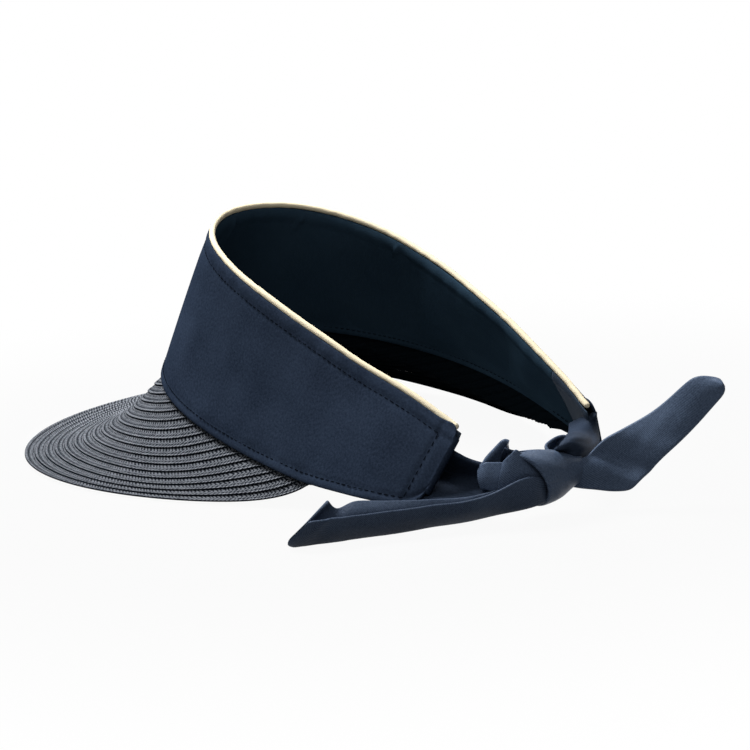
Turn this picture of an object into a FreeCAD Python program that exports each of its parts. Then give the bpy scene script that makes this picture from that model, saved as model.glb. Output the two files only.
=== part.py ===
import FreeCAD, Part
import os
from math import cos, pi, radians, sin, sqrt, tanh

# A headband sun visor lying on a table: a flared fabric band, open at the back, with a
# cord piping along its top edge, a peak of sewn straw braid, and two satin ties knotted
# behind the wearer's head.  Millimetres and degrees.
# +Z is up from the table, -Y is the front (the peak), +X is the wearer's left.

# ---- driving dimensions ---------------------------------------------------------------

# Top edge (rim) of the band, seen square to the head opening.
RIM_HALF_LENGTH = 205.0      # centre front to one rear end
RIM_FRONT = 95.0             # centre front ahead of the axis of the head
RIM_REAR_HEADING = 98.0      # the two sides draw together slightly towards the back
RIM_CURVE_SHARE = 0.295      # share of the half length that holds the front curve
RIM_REAR_DROP = 17.8

# Wall of the band.
BAND_PITCH = 16.0            # the head opening leans back by this much on the table
BAND_FRONT_HEIGHT = 65.4
BAND_REAR_HEIGHT = 28.1
BAND_FRONT_FLARE = 11.3
BAND_REAR_FLARE = 39.4
END_CORNER = 7.0             # rounding of the lower corner at each rear end

# Layers of the band, from the outer face inwards.
OUTER_FABRIC = 0.8
LINING = 0.6
LAYER_GAP = 0.15             # slack between two layers of cloth
PIPING_CORD_RADIUS = 1.4
PIPING_COVER = 0.5
PIPING_DEPTH = 1.2           # centre of the piping inside the outer face
SEAM_ALLOWANCE = 6.0         # turned-in edges under the piping
HEM_FRONT = 3.7              # hem of the lining over the lower edge of the band
HEM_RISE = 12.0              # the extra height it has along the sides
FACING_SHARE = 0.13          # share of each half that the end facing covers
FACING_SLANT = 0.05
FACING_REVEAL = 2.0          # facing's edge over the lower edge of the band

# Peak of straw braid.
PEAK_LENGTH = 72.5           # centre front, in plan
PEAK_DROP = 40.1             # from the band's lower edge to the table, centre front
PEAK_REACH = 0.752           # share of the half length where the peak meets the band
PEAK_NOSE = 0.15             # share of each half that rounds the peak at centre front
PEAK_SWEEP = 40.3            # how far the braid turns rearwards along the side
PEAK_SWEEP_POWER = 2.0
PEAK_DIP_FRONT = 2.55        # steep under the band and level at the edge, in front
PEAK_DIP_SIDE = 1.7          # straighter at the side
PEAK_SWELL = 4.9             # upward roundness half way along the side
PEAK_FOLD = 4.0              # the braid bends round under the band within this
PEAK_NOSE_LIFT = 1.2         # the front edge stands clear of the table by this
PEAK_INNER_RISE = 70.0       # climb of the edge inside the band behind that point
BRAID_ROWS = 21
BRAID_LAP = 1.3              # braid width over row spacing
BRAID_THICKNESS = 0.7
BRAID_GAP = 0.21
BRAID_SLACK = 0.6            # room between the braid and the outer fabric
BRAID_TUCK = 1.0             # a row ends this far under the hem
BRAID_END = 0.90             # share of the half length where every row has ended

# Satin ties.
TIE_WIDTH = 24.0
TIE_THICKNESS = 1.6
TIE_SEWN = 1.2               # pressed thinner between the layers of the band
TIE_INSET = 14.0             # length sewn inside each rear end
TIE_TOP = 9.0                # its upper edge under the rim
KNOT_BACK = 24.0             # centre of the knot behind the band's rear ends
KNOT_SIDE = 12.0
KNOT_HEIGHT = 15.4
KNOT_HALF_LENGTH = 12.0
KNOT_HALF_DEPTH = 7.5
KNOT_HALF_HEIGHT = 9.5
KNOT_WRAP = 1.8
KNOT_WRAP_HALF_WIDTH = 9.0
KNOT_LOOP_WIDTH = 9.0
KNOT_LOOP_LENGTH = 9.5
JOINT_GAP = 0.3
TAIL_ROOT_RADIUS = 2.0       # each tail starts as a rolled end that it swings about
TAIL_ROOT_BACK = 2.6         # behind the middle of the knot, clear of the straps
LEFT_TAIL_LENGTH = 77.0
LEFT_TAIL_WIDTH = 14.5
LEFT_TAIL_ROOT_WIDTH = 11.0
LEFT_TAIL_ROOT_DROP = 3.7
LEFT_TAIL_HEADING = -31.0    # from +X
LEFT_TAIL_SLANT = 9.0        # half of the slant of the cut end
RIGHT_TAIL_LENGTH = 60.0
RIGHT_TAIL_WIDTH = 19.0
RIGHT_TAIL_ROOT_WIDTH = 15.0
RIGHT_TAIL_ROOT_RISE = 0.6
RIGHT_TAIL_HEADING = 135.0
RIGHT_TAIL_RISE = 29.0       # climb over level, degrees
RIGHT_TAIL_SLANT = 4.0

STATIONS = 16                # cross-sections along each half of the band
BRAID_STATION = 0.025        # spacing of the braid's, as a share of the half length
STEPS = 240                  # steps used to walk along the rim line

# ---- the rim line and the wall under it -----------------------------------------------


def rim_table():
    """Points and headings along one half of the rim, from centre front."""
    step = RIM_HALF_LENGTH / STEPS
    x, y = 0.0, -RIM_FRONT
    table = [(x, y, 0.0)]
    for i in range(STEPS):
        middle = radians(RIM_REAR_HEADING) * tanh((i + 0.5) / STEPS / RIM_CURVE_SHARE)
        x += cos(middle) * step
        y += sin(middle) * step
        heading = radians(RIM_REAR_HEADING) * tanh((i + 1.0) / STEPS / RIM_CURVE_SHARE)
        table.append((x, y, heading))
    return table


RIM = rim_table()


def rim_at(share):
    """Plan point and heading at a share of the half length, 0 to 1."""
    place = min(max(share, 0.0), 1.0) * STEPS
    i = min(int(place), STEPS - 1)
    f = place - i
    a, b = RIM[i], RIM[i + 1]
    return [a[j] + (b[j] - a[j]) * f for j in range(3)]


def flare(share):
    return radians(BAND_FRONT_FLARE + (BAND_REAR_FLARE - BAND_FRONT_FLARE) * share ** 2)


def wall_length(share):
    """Length of the wall from rim to lower edge, along its slant."""
    height = BAND_FRONT_HEIGHT + (BAND_REAR_HEIGHT - BAND_FRONT_HEIGHT) * share ** 2
    return height / cos(flare(share))


def hem_height(share):
    """Height of the lining's hem over the lower edge, along the slant."""
    return HEM_FRONT + HEM_RISE * sin(pi * share ** 1.5)


def on_wall(s, down, depth):
    """Point on the wall: s from -1 to 1, down from the rim, depth in from the face."""
    share = abs(s)
    side = -1.0 if s < 0 else 1.0
    x, y, heading = rim_at(share)
    lean = flare(share)
    radial = down * sin(lean) - depth * cos(lean)
    v = y - cos(heading) * radial
    w = -RIM_REAR_DROP * share ** 2 - down * cos(lean) - depth * sin(lean)
    a = radians(BAND_PITCH)
    return FreeCAD.Vector(side * (x + sin(heading) * radial),
                          v * cos(a) + w * sin(a), w * cos(a) - v * sin(a))



# ---- the surface of the peak ----------------------------------------------------------

BRAID_LIFT = (BRAID_THICKNESS + BRAID_GAP) * BRAID_LAP
BRAID_DEPTH = OUTER_FABRIC + BRAID_SLACK + BRAID_LIFT + BRAID_THICKNESS
LINING_DEPTH = BRAID_DEPTH + LAYER_GAP
FILL = LINING_DEPTH - LAYER_GAP - OUTER_FABRIC - LAYER_GAP
TABLE = on_wall(0.0, wall_length(0.0), 0.0).z - PEAK_DROP
GENERATORS = {}


def nose(along):
    """Share of the way along the side, eased so that the front has no corner."""
    start = sqrt(along ** 2 + PEAK_NOSE ** 2) - PEAK_NOSE
    return start / (sqrt(1.0 + PEAK_NOSE ** 2) - PEAK_NOSE)


def generator(share):
    """Points down the peak's slope at one place, and the length along them."""
    key = round(share, 6)
    if key in GENERATORS:
        return GENERATORS[key]
    start = on_wall(share, wall_length(share), BRAID_DEPTH)
    along = nose(share / PEAK_REACH)
    x, y, heading = rim_at(share)
    turn = heading + radians(PEAK_SWEEP) * along ** PEAK_SWEEP_POWER
    length = PEAK_LENGTH * (1.0 - along)
    power = PEAK_DIP_FRONT + (PEAK_DIP_SIDE - PEAK_DIP_FRONT) * along
    side_rise = on_wall(PEAK_REACH, wall_length(PEAK_REACH), BRAID_DEPTH).z - TABLE
    edge = TABLE + PEAK_NOSE_LIFT * (1.0 - along) ** 2 + side_rise * along ** 7.5
    points, travelled = [], [0.0]
    for i in range(25):
        r = i / 24
        z = edge + (start.z - edge) * (1.0 - r) ** power
        z += PEAK_SWELL * 4.0 * along * (1.0 - along) * sin(pi * r)
        points.append(FreeCAD.Vector(start.x + sin(turn) * length * r,
                                     start.y - cos(turn) * length * r, z))
        if i:
            travelled.append(travelled[-1] + points[i].distanceToPoint(points[i - 1]))
    GENERATORS[key] = (points, travelled)
    return GENERATORS[key]


def peak_reach(share):
    """Reach of the outer edge past the band's lower edge; negative inside the band."""
    if share < PEAK_REACH - 0.001:
        return generator(share)[1][-1]
    return -PEAK_INNER_RISE * max(0.0, share - PEAK_REACH)


def sharp_peak(s, reach):
    """Underside of the braid with a sharp fold under the band's lower edge."""
    share = abs(s)
    side = -1.0 if s < 0 else 1.0
    if reach <= 0 or share >= PEAK_REACH - 0.001:
        return on_wall(s, wall_length(share) + reach, BRAID_DEPTH)
    points, travelled = generator(share)
    i = 0
    while i < len(points) - 2 and travelled[i + 1] < reach:
        i += 1
    f = (reach - travelled[i]) / (travelled[i + 1] - travelled[i])
    point = points[i] + (points[i + 1] - points[i]) * f
    return FreeCAD.Vector(side * point.x, point.y, point.z)


def under_peak(s, reach):
    """Underside of the braid at a reach past the lower edge, or up inside the wall."""
    if abs(reach) >= PEAK_FOLD:
        return sharp_peak(s, reach)
    total = FreeCAD.Vector(0, 0, 0)
    for i in (-3, -2, -1, 0, 1, 2, 3):
        window = PEAK_FOLD - abs(reach)
        total += sharp_peak(s, reach + window * i / 3.5)
    return total * (1 / 7)


def on_peak(s, reach, height):
    """Point a height over the underside of the braid."""
    down = wall_length(abs(s)) + reach
    square = on_wall(s, down, BRAID_DEPTH - 1.0) - on_wall(s, down, BRAID_DEPTH)
    if reach > -PEAK_FOLD:
        along = under_peak(s + 0.01, reach) - under_peak(s - 0.01, reach)
        outward = under_peak(s, reach + 1.0) - under_peak(s, reach - 1.0)
        part = min(1.0, 1.0 + reach / PEAK_FOLD)
        blend = part * part * (3.0 - 2.0 * part)
        square = square * (1.0 - blend) + outward.cross(along).normalize() * blend
    return under_peak(s, reach) + square.normalize() * height


# ---- building blocks ------------------------------------------------------------------


def stations(first, last, count):
    return [first + (last - first) * i / (count - 1) for i in range(count)]


def loft(sections):
    """Solid through a row of four-cornered sections: four ruled sides and two ends."""
    places = [0.0]
    for one, two in zip(sections, sections[1:]):
        steps = [a.distanceToPoint(b) for a, b in zip(one, two)]
        places.append(places[-1] + sum(steps) / 4)
    edges = []
    for corner in range(4):
        curve = Part.BSplineCurve()
        curve.interpolate(Points=[points[corner] for points in sections], Parameters=places)
        edges.append(curve.toShape())
    faces = [Part.makeRuledSurface(edges[i], edges[(i + 1) % 4]) for i in range(4)]
    for points in (sections[0], sections[-1]):
        faces.append(Part.Face(Part.makePolygon(points + [points[0]])))
    shell = Part.makeShell([face for side in faces for face in side.Faces])
    shell.sewShape()
    solid = Part.makeSolid(Part.Shell(shell.Faces))
    if solid.Volume < 0:
        solid.reverse()
    return solid


def wall_layer(places, top, bottom, depth, thickness):
    """Sheet of cloth on the wall between two lines, one thickness deep."""
    sections = []
    for s in places:
        upper, lower = top(abs(s)), bottom(abs(s))
        sections.append([on_wall(s, upper, depth), on_wall(s, lower, depth),
                         on_wall(s, lower, depth + thickness),
                         on_wall(s, upper, depth + thickness)])
    return loft(sections)


def ribbon(sections):
    """Strip of tie through (centre, across, face, width, thickness) sections."""
    rows = []
    for centre, across, face, width, thickness in sections:
        a = across * (width / 2)
        f = face * (thickness / 2)
        rows.append([centre + a + f, centre - a + f, centre - a - f, centre + a - f])
    return loft(rows)


# ---- band -----------------------------------------------------------------------------


def piping_radius():
    return PIPING_CORD_RADIUS + 0.1 + PIPING_COVER


def under_piping(share):
    return piping_radius() + LAYER_GAP


def outer_edge(share):
    """Lower edge of the outer fabric, rounded up into each rear end."""
    left = (1.0 - share) * RIM_HALF_LENGTH
    if left >= END_CORNER:
        return wall_length(share)
    return wall_length(share) - END_CORNER + sqrt(END_CORNER ** 2 - (END_CORNER - left) ** 2)


def band_outer():
    half = stations(0.0, 1.0 - END_CORNER / RIM_HALF_LENGTH, STATIONS)
    corner = [1.0 - END_CORNER * (1.0 - sin(radians(a))) / RIM_HALF_LENGTH
              for a in (12, 30, 48, 66, 90)]
    right = half[1:] + corner
    places = [-s for s in reversed(right)] + [0.0] + right
    return wall_layer(places, under_piping, outer_edge, 0.0, OUTER_FABRIC)


def both_halves(last):
    half = stations(0.0, last, STATIONS)
    return [-s for s in reversed(half[1:])] + half


def seam_edge(share):
    return under_piping(share) + SEAM_ALLOWANCE


def band_interlining():
    def top(share):
        return seam_edge(share) + LAYER_GAP

    def bottom(share):
        tuck = hem_height(share) + BRAID_TUCK + row_pitch() * BRAID_LAP + 0.5
        return wall_length(share) - tuck

    last = 1.0 - (TIE_INSET + LAYER_GAP) / RIM_HALF_LENGTH
    return wall_layer(both_halves(last), top, bottom, OUTER_FABRIC + LAYER_GAP, FILL)


def band_lining():
    def bottom(share):
        return wall_length(share) - hem_height(share)

    last = 1.0 - FACING_SHARE
    return wall_layer(both_halves(last), under_piping, bottom, LINING_DEPTH, LINING)


def end_facing(side):
    """Panel that closes the inside of a rear end over the sewn-in tie."""
    first = 1.0 - FACING_SHARE + LAYER_GAP / RIM_HALF_LENGTH

    def bottom(share):
        return outer_edge(share) - FACING_REVEAL

    places = [side * s for s in stations(first, 1.0, 7)]
    return wall_layer(places, under_piping, bottom, LINING_DEPTH, LINING)


def rim_circles(radius):
    """Circles square to the rim, from one rear end to the other."""
    wires = []
    for s in both_halves(1.0):
        centre = on_wall(s, 0.0, PIPING_DEPTH)
        ahead = min(s + 0.01, 1.0)
        behind = max(s - 0.01, -1.0)
        axis = on_wall(ahead, 0.0, PIPING_DEPTH) - on_wall(behind, 0.0, PIPING_DEPTH)
        wires.append(Part.Wire([Part.makeCircle(radius, centre, axis)]))
    return wires


def piping_cord():
    return Part.makeLoft(rim_circles(PIPING_CORD_RADIUS), True, False)


def piping_cover():
    """Tube of cloth round the cord."""
    skin = Part.makeLoft(rim_circles(piping_radius()), True, False)
    return skin.cut(Part.makeLoft(rim_circles(PIPING_CORD_RADIUS + 0.1), True, False))


def piping_seam():
    """Turned-in edges of cover, outer fabric and lining, pressed down under the rim."""
    last = 1.0 - (TIE_INSET + LAYER_GAP) / RIM_HALF_LENGTH
    return wall_layer(both_halves(last), under_piping, seam_edge,
                      OUTER_FABRIC + LAYER_GAP, FILL)


# ---- peak -----------------------------------------------------------------------------


def row_pitch():
    return (peak_reach(0.0) + HEM_FRONT) / (BRAID_ROWS - 0.4)


def row_end(k):
    """Share of the half length where row k runs up under the lining's hem."""
    low, high = 0.0, BRAID_END
    for i in range(40):
        middle = (low + high) / 2
        climb = k * row_pitch() - peak_reach(middle)
        if climb < hem_height(middle) + BRAID_TUCK:
            low = middle
        else:
            high = middle
    return low


def braid_places(end):
    """Places of the sections of a row; rows share them, so that they stay parallel."""
    count = int(end / BRAID_STATION - 0.4)
    half = [BRAID_STATION * i for i in range(count + 1)] + [end]
    return [-v for v in reversed(half[1:])] + half


def braid_row(k):
    """One length of braid, its inner margin under the outer margin of the next row."""
    width = row_pitch() * BRAID_LAP
    sections = []
    for s in braid_places(row_end(k)):
        outer = peak_reach(abs(s)) - k * row_pitch()
        sections.append([on_peak(s, outer, BRAID_LIFT),
                         on_peak(s, outer - width, 0.0),
                         on_peak(s, outer - width, BRAID_THICKNESS),
                         on_peak(s, outer, BRAID_LIFT + BRAID_THICKNESS)])
    return loft(sections)


# ---- ties -----------------------------------------------------------------------------

REAR_END = on_wall(1.0, wall_length(1.0) / 2, BRAID_DEPTH / 2)
KNOT = FreeCAD.Vector(KNOT_SIDE, REAR_END.y + KNOT_BACK, TABLE + KNOT_HEIGHT)


def strap(side):
    """Tie from inside a rear end of the band to the knot."""
    depth = OUTER_FABRIC + LAYER_GAP + FILL / 2
    middle = TIE_TOP + TIE_WIDTH / 2
    sections = []
    for inset in stations(TIE_INSET, 0.0, 5):
        s = side * (1.0 - inset / RIM_HALF_LENGTH)
        upper = on_wall(s, TIE_TOP, depth)
        lower = on_wall(s, TIE_TOP + TIE_WIDTH, depth)
        face = (on_wall(s, middle, depth - 1.0) - on_wall(s, middle, depth)).normalize()
        across = (upper - lower).normalize()
        sections.append((on_wall(s, middle, depth), across, face, TIE_WIDTH, TIE_SEWN))
    start, across, face = sections[-1][0], sections[-1][1], sections[-1][2]
    finish = KNOT + FreeCAD.Vector(side * (KNOT_HALF_LENGTH + LAYER_GAP), -3.0, 1.5)
    leave = (start - sections[0][0]).normalize() * 16.0
    arrive = FreeCAD.Vector(-side * 20.0, 4.0, 0.0)
    for i in range(1, 8):
        t = i / 7
        centre = start * (2 * t ** 3 - 3 * t ** 2 + 1) + finish * (3 * t ** 2 - 2 * t ** 3)
        centre += leave * (t ** 3 - 2 * t ** 2 + t) + arrive * (t ** 3 - t ** 2)
        ahead = start * (6 * t ** 2 - 6 * t) + finish * (6 * t - 6 * t ** 2)
        ahead += leave * (3 * t ** 2 - 4 * t + 1) + arrive * (3 * t ** 2 - 2 * t)
        edge = (across * (1 - t) + FreeCAD.Vector(0, 0, 1) * t).normalize()
        outward = edge.cross(ahead).normalize()
        if outward.dot(face) < 0:
            outward = -outward
        edge = (edge - ahead.normalize() * edge.dot(ahead.normalize())).normalize()
        width = TIE_WIDTH + (KNOT_HALF_HEIGHT * 1.3 - TIE_WIDTH) * t
        sections.append((centre, edge, outward, width, TIE_THICKNESS))
    return ribbon(sections)


def barrel(extra, half_length):
    """Rounded barrel lying along X at the knot, grown outwards by extra."""
    wires = []
    for i in range(7):
        t = -1.0 + i / 3
        x = t * half_length
        swell = 1.0 - 0.42 * (x / KNOT_HALF_LENGTH) ** 2
        major = KNOT_HALF_HEIGHT * swell + extra
        minor = KNOT_HALF_DEPTH * swell + extra
        oval = Part.Ellipse(FreeCAD.Vector(0, 0, 0), major, minor).toShape()
        oval.rotate(FreeCAD.Vector(0, 0, 0), FreeCAD.Vector(0, 1, 0), -90)
        oval.translate(KNOT + FreeCAD.Vector(x, 0, 0))
        wires.append(Part.Wire([oval]))
    return Part.makeLoft(wires, True, False)


def knot_core():
    """Crossed folds of the two ties inside the knot."""
    return barrel(0.0, KNOT_HALF_LENGTH)


def knot_wrap():
    """Outer turn of tie round the crossed folds."""
    skin = barrel(LAYER_GAP + KNOT_WRAP, KNOT_WRAP_HALF_WIDTH)
    return skin.cut(barrel(LAYER_GAP, KNOT_WRAP_HALF_WIDTH))


def knot_loop():
    """Fold of tie that stands out of the end of the knot, above the left tail."""
    root = KNOT + FreeCAD.Vector(KNOT_HALF_LENGTH + LAYER_GAP, -1.0, 7.0)
    ahead = FreeCAD.Vector(1.0, -0.26, 0.22).normalize()
    face = FreeCAD.Vector(0.26, 1.0, 0).normalize()
    sections = []
    for t in (0.0, 0.35, 0.7, 1.0):
        width = KNOT_LOOP_WIDTH * (0.7 + 0.3 * t)
        sections.append((root + ahead * (KNOT_LOOP_LENGTH * t), FreeCAD.Vector(0, 0, 1),
                         face, width, TIE_THICKNESS))
    return ribbon(sections)


def tail_root(side, height):
    """Where a tail leaves the knot, on the line that it swings about."""
    reach = KNOT_HALF_LENGTH + JOINT_GAP + TAIL_ROOT_RADIUS
    return KNOT + FreeCAD.Vector(side * reach, TAIL_ROOT_BACK, height)


def tail(root, heading, path, root_width, width, cut):
    """Free end of a tie, standing on edge, with a slanting cut end.

    The path gives the distance from the root and the height over it.
    """
    h = radians(heading)
    out = FreeCAD.Vector(cos(h), sin(h), 0)
    face = FreeCAD.Vector(-sin(h), cos(h), 0) * (TIE_THICKNESS / 2)
    up = FreeCAD.Vector(0, 0, 1)
    sections = []
    for i, (away, rise) in enumerate(path):
        t = i / (len(path) - 1)
        half = (root_width + (width - root_width) * min(1.0, 3.0 * t)) / 2
        slant = out * (cut * t ** 5)
        upper = root + out * away + up * (rise + half) - slant
        lower = root + out * away + up * (rise - half) + slant
        sections.append([upper + face, lower + face, lower - face, upper - face])
    foot = root - up * (root_width / 2)
    roll = Part.makeCylinder(TAIL_ROOT_RADIUS, root_width, foot, up)
    return roll.fuse(loft(sections))


def tail_left():
    """Tail that sinks to the table and lies there on its edge."""
    root = tail_root(1.0, -LEFT_TAIL_ROOT_DROP)
    sink = KNOT_HEIGHT - LEFT_TAIL_ROOT_DROP - LEFT_TAIL_WIDTH / 2 - JOINT_GAP
    path = [(LEFT_TAIL_LENGTH * t, -sink * min(1.0, 1.25 * t) ** 1.5)
            for t in stations(0.0, 1.0, 11)]
    return tail(root, LEFT_TAIL_HEADING, path, LEFT_TAIL_ROOT_WIDTH, LEFT_TAIL_WIDTH,
                LEFT_TAIL_SLANT)


def tail_right():
    """Tail that the stiff satin holds up in the air."""
    root = tail_root(-1.0, RIGHT_TAIL_ROOT_RISE)
    climb = radians(RIGHT_TAIL_RISE)
    path = [(RIGHT_TAIL_LENGTH * t * cos(climb), RIGHT_TAIL_LENGTH * t * sin(climb))
            for t in stations(0.0, 1.0, 11)]
    return tail(root, RIGHT_TAIL_HEADING, path, RIGHT_TAIL_ROOT_WIDTH, RIGHT_TAIL_WIDTH,
                RIGHT_TAIL_SLANT)


# ---- the whole visor ------------------------------------------------------------------


def pieces():
    visor = {"band_outer": band_outer(), "band_interlining": band_interlining(),
             "band_lining": band_lining(), "end_facing_left": end_facing(1.0),
             "end_facing_right": end_facing(-1.0), "piping_cord": piping_cord(),
             "piping_cover": piping_cover(), "piping_seam": piping_seam()}
    for k in range(BRAID_ROWS):
        visor["braid_row_%02d" % (k + 1)] = braid_row(k)
    visor["strap_left"] = strap(1.0)
    visor["strap_right"] = strap(-1.0)
    visor["knot_core"] = knot_core()
    visor["knot_wrap"] = knot_wrap()
    visor["knot_loop"] = knot_loop()
    visor["tail_left"] = tail_left()
    visor["tail_right"] = tail_right()
    return visor


def seat(visor):
    """Bring the middle of the visor's foot to the origin."""
    box = Part.makeCompound(list(visor.values())).optimalBoundingBox(False, False)
    middle = FreeCAD.Vector(-(box.XMin + box.XMax) / 2, -(box.YMin + box.YMax) / 2,
                            -box.ZMin)
    for shape in visor.values():
        shape.translate(middle)
    print("origin moved by", middle)


def main():
    os.makedirs("parts", exist_ok=True)
    visor = pieces()
    seat(visor)
    for name, shape in visor.items():
        shape.exportStep("parts/" + name + ".step")


main()
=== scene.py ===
# A tie-back sun visor lying on a table: flared twill band, cream piping, peak of sewn
# straw braid, satin ties knotted at the back.
import math

import bpy
import numpy as np
from mathutils import Matrix, Vector


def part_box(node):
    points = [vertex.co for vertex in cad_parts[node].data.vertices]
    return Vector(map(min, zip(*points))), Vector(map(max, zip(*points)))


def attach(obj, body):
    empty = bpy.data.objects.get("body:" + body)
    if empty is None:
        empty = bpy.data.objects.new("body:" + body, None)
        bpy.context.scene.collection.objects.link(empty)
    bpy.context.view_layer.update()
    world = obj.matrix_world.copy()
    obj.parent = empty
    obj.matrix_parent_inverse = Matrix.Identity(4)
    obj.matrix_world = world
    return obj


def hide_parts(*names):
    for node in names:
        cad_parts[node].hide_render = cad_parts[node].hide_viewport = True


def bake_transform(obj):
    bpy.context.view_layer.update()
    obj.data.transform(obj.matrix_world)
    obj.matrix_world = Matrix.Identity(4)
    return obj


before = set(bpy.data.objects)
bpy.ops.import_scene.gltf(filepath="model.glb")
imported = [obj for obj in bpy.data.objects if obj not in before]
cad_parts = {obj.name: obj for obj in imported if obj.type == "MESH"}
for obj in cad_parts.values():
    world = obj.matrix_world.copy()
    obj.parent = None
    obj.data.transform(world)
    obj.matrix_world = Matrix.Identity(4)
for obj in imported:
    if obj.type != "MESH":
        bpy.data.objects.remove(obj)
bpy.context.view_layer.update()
mm = 0.001

# ---- Outer fabric of the band ---------------------------------------------------------
# Navy twill cut as one curved strip, turned under along its lower edge and ends, and
# top-stitched; it flares outwards from the rim, most of all towards the rear ends.

RIM_HALF_LENGTH = 205 * mm          # centre front to one rear end
RIM_FRONT = 95 * mm                 # centre front ahead of the axis of the head
RIM_REAR_HEADING = math.radians(98.0)
RIM_CURVE_SHARE = 0.295             # share of the half length that holds the front curve
RIM_REAR_DROP = 17.8 * mm
RIM_STEPS = 800
BAND_PITCH = math.radians(16.0)     # the head opening leans back on the table
BAND_FRONT_HEIGHT = 65.4 * mm
BAND_REAR_HEIGHT = 28.1 * mm
BAND_FRONT_FLARE = math.radians(11.3)
BAND_REAR_FLARE = math.radians(39.4)
CLOTH_UNDER_RIM = 2.15 * mm
OUTER_THICKNESS = 0.8 * mm
END_CORNER = 7.0 * mm
END_SHARE = 1.003                   # the cloth's ends, as a share of the half length
FABRIC_TOP = 1.05 * mm              # its upper edge, along the piping
END_RISE = 1.7 * mm                 # beside the piping's end it rises by this
END_RISE_LENGTH = 12 * mm
UPPER_CORNER = 4 * mm
TURNED_DEPTH = 0.9 * mm             # its ends are turned in round this depth
TOP_STITCH_DOWN = 6.3 * mm
HEM_STITCH_UP = 3.5 * mm
END_STITCH_IN = 6.0 * mm
LEFT_DRAWN_IN = 4.0 * mm            # pull of the knot on each end, this far down it
RIGHT_DRAWN_IN = 9.5 * mm
DRAWN_IN_DOWN = 28 * mm
LEFT_RIDE = 2.4 * mm                # how far each tied end rides up
RIGHT_RIDE = -1.2 * mm

rim_share = np.arange(RIM_STEPS + 17) / RIM_STEPS
rim_heading = RIM_REAR_HEADING * np.tanh(rim_share / RIM_CURVE_SHARE)
rim_step = RIM_HALF_LENGTH / RIM_STEPS
rim_middle = (rim_heading[1:] + rim_heading[:-1]) / 2
rim_x = np.concatenate([[0.0], np.cumsum(np.cos(rim_middle) * rim_step)])
rim_y = np.concatenate([[0.0], np.cumsum(np.sin(rim_middle) * rim_step)]) - RIM_FRONT


def flare(share):
    return BAND_FRONT_FLARE + (BAND_REAR_FLARE - BAND_FRONT_FLARE) * share ** 2


def wall_length(share):
    """Slant length of the wall from rim to lower edge."""
    height = BAND_FRONT_HEIGHT + (BAND_REAR_HEIGHT - BAND_FRONT_HEIGHT) * share ** 2
    return height / np.cos(flare(share))


def ease(x):
    x = np.clip(x, 0, 1)
    return x * x * (3 - 2 * x)


def wall_unseated(s, down, depth):
    """The tied ends: the left one rides up a little, the right one sinks, and the
    pull of the knot draws both in at their lower corners."""
    share = np.abs(s)
    x = np.interp(share, rim_share, rim_x)
    y = np.interp(share, rim_share, rim_y)
    heading = np.interp(share, rim_share, rim_heading)
    lean = flare(share)
    out = down * np.sin(lean) - depth * np.cos(lean)
    drawn_in = np.where(s > 0, LEFT_DRAWN_IN, RIGHT_DRAWN_IN)
    drawn_in = drawn_in * np.clip((share - 0.86) / 0.14, 0, 1) ** 2
    out = out - drawn_in * down / DRAWN_IN_DOWN
    ride = np.where(s > 0, LEFT_RIDE, RIGHT_RIDE) * ease((share - 0.70) / 0.22)
    v = y - np.cos(heading) * out
    w = -RIM_REAR_DROP * share ** 2 - down * np.cos(lean) - depth * np.sin(lean)
    return np.stack([np.sign(s + 1e-12) * (x + np.sin(heading) * out),
                     v * math.cos(BAND_PITCH) + w * math.sin(BAND_PITCH),
                     w * math.cos(BAND_PITCH) - v * math.sin(BAND_PITCH) + ride], -1)


outer_low, outer_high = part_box("band_outer")
front_low = wall_unseated(0.0, wall_length(0.0), 0.0)
front_high = wall_unseated(0.0, CLOTH_UNDER_RIM, 0.0)
seat = np.array([(outer_low.x + outer_high.x) / 2, outer_low.y - front_low[1],
                 outer_high.z - front_high[2]])


def on_wall(s, down, depth):
    """Points on the wall: s from -1 to 1, down from the rim, depth in from the face."""
    s, down, depth = np.broadcast_arrays(s, down, depth)
    return wall_unseated(s, down, depth) + seat


def mesh_volume(mesh):
    mesh.calc_loop_triangles()
    points = np.array([v.co for v in mesh.vertices])
    tri = np.array([t.vertices for t in mesh.loop_triangles])
    a, b, c = points[tri[:, 0]], points[tri[:, 1]], points[tri[:, 2]]
    return float(np.einsum("ij,ij->i", a, np.cross(b, c)).sum())


def smooth_piece(name, points, faces, thread):
    """A closed piece with a smooth surface.  thread holds each point's place along and
    across the cloth, for the weave."""
    mesh = bpy.data.meshes.new(name)
    mesh.from_pydata(np.reshape(points, (-1, 3)).tolist(), [], faces)
    mesh.update()
    mesh.polygons.foreach_set("use_smooth", [True] * len(mesh.polygons))
    place = mesh.attributes.new("thread", "FLOAT_VECTOR", "POINT")
    place.data.foreach_set("vector", np.asarray(thread, np.float32).ravel())
    if mesh_volume(mesh) < 0:
        mesh.flip_normals()
    piece = bpy.data.objects.new(name, mesh)
    bpy.context.scene.collection.objects.link(piece)
    return piece


def swept(name, rings, thread):
    """A piece through a row of rings of points, with its two ends closed off."""
    count, around = rings.shape[:2]
    faces = []
    for a in range(0, (count - 1) * around, around):
        for j in range(around):
            k = (j + 1) % around
            faces.append((a + j, a + k, a + around + k, a + around + j))
    faces.append(tuple(range(around))[::-1])
    faces.append(tuple((count - 1) * around + j for j in range(around)))
    return smooth_piece(name, rings, faces, thread)


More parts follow.
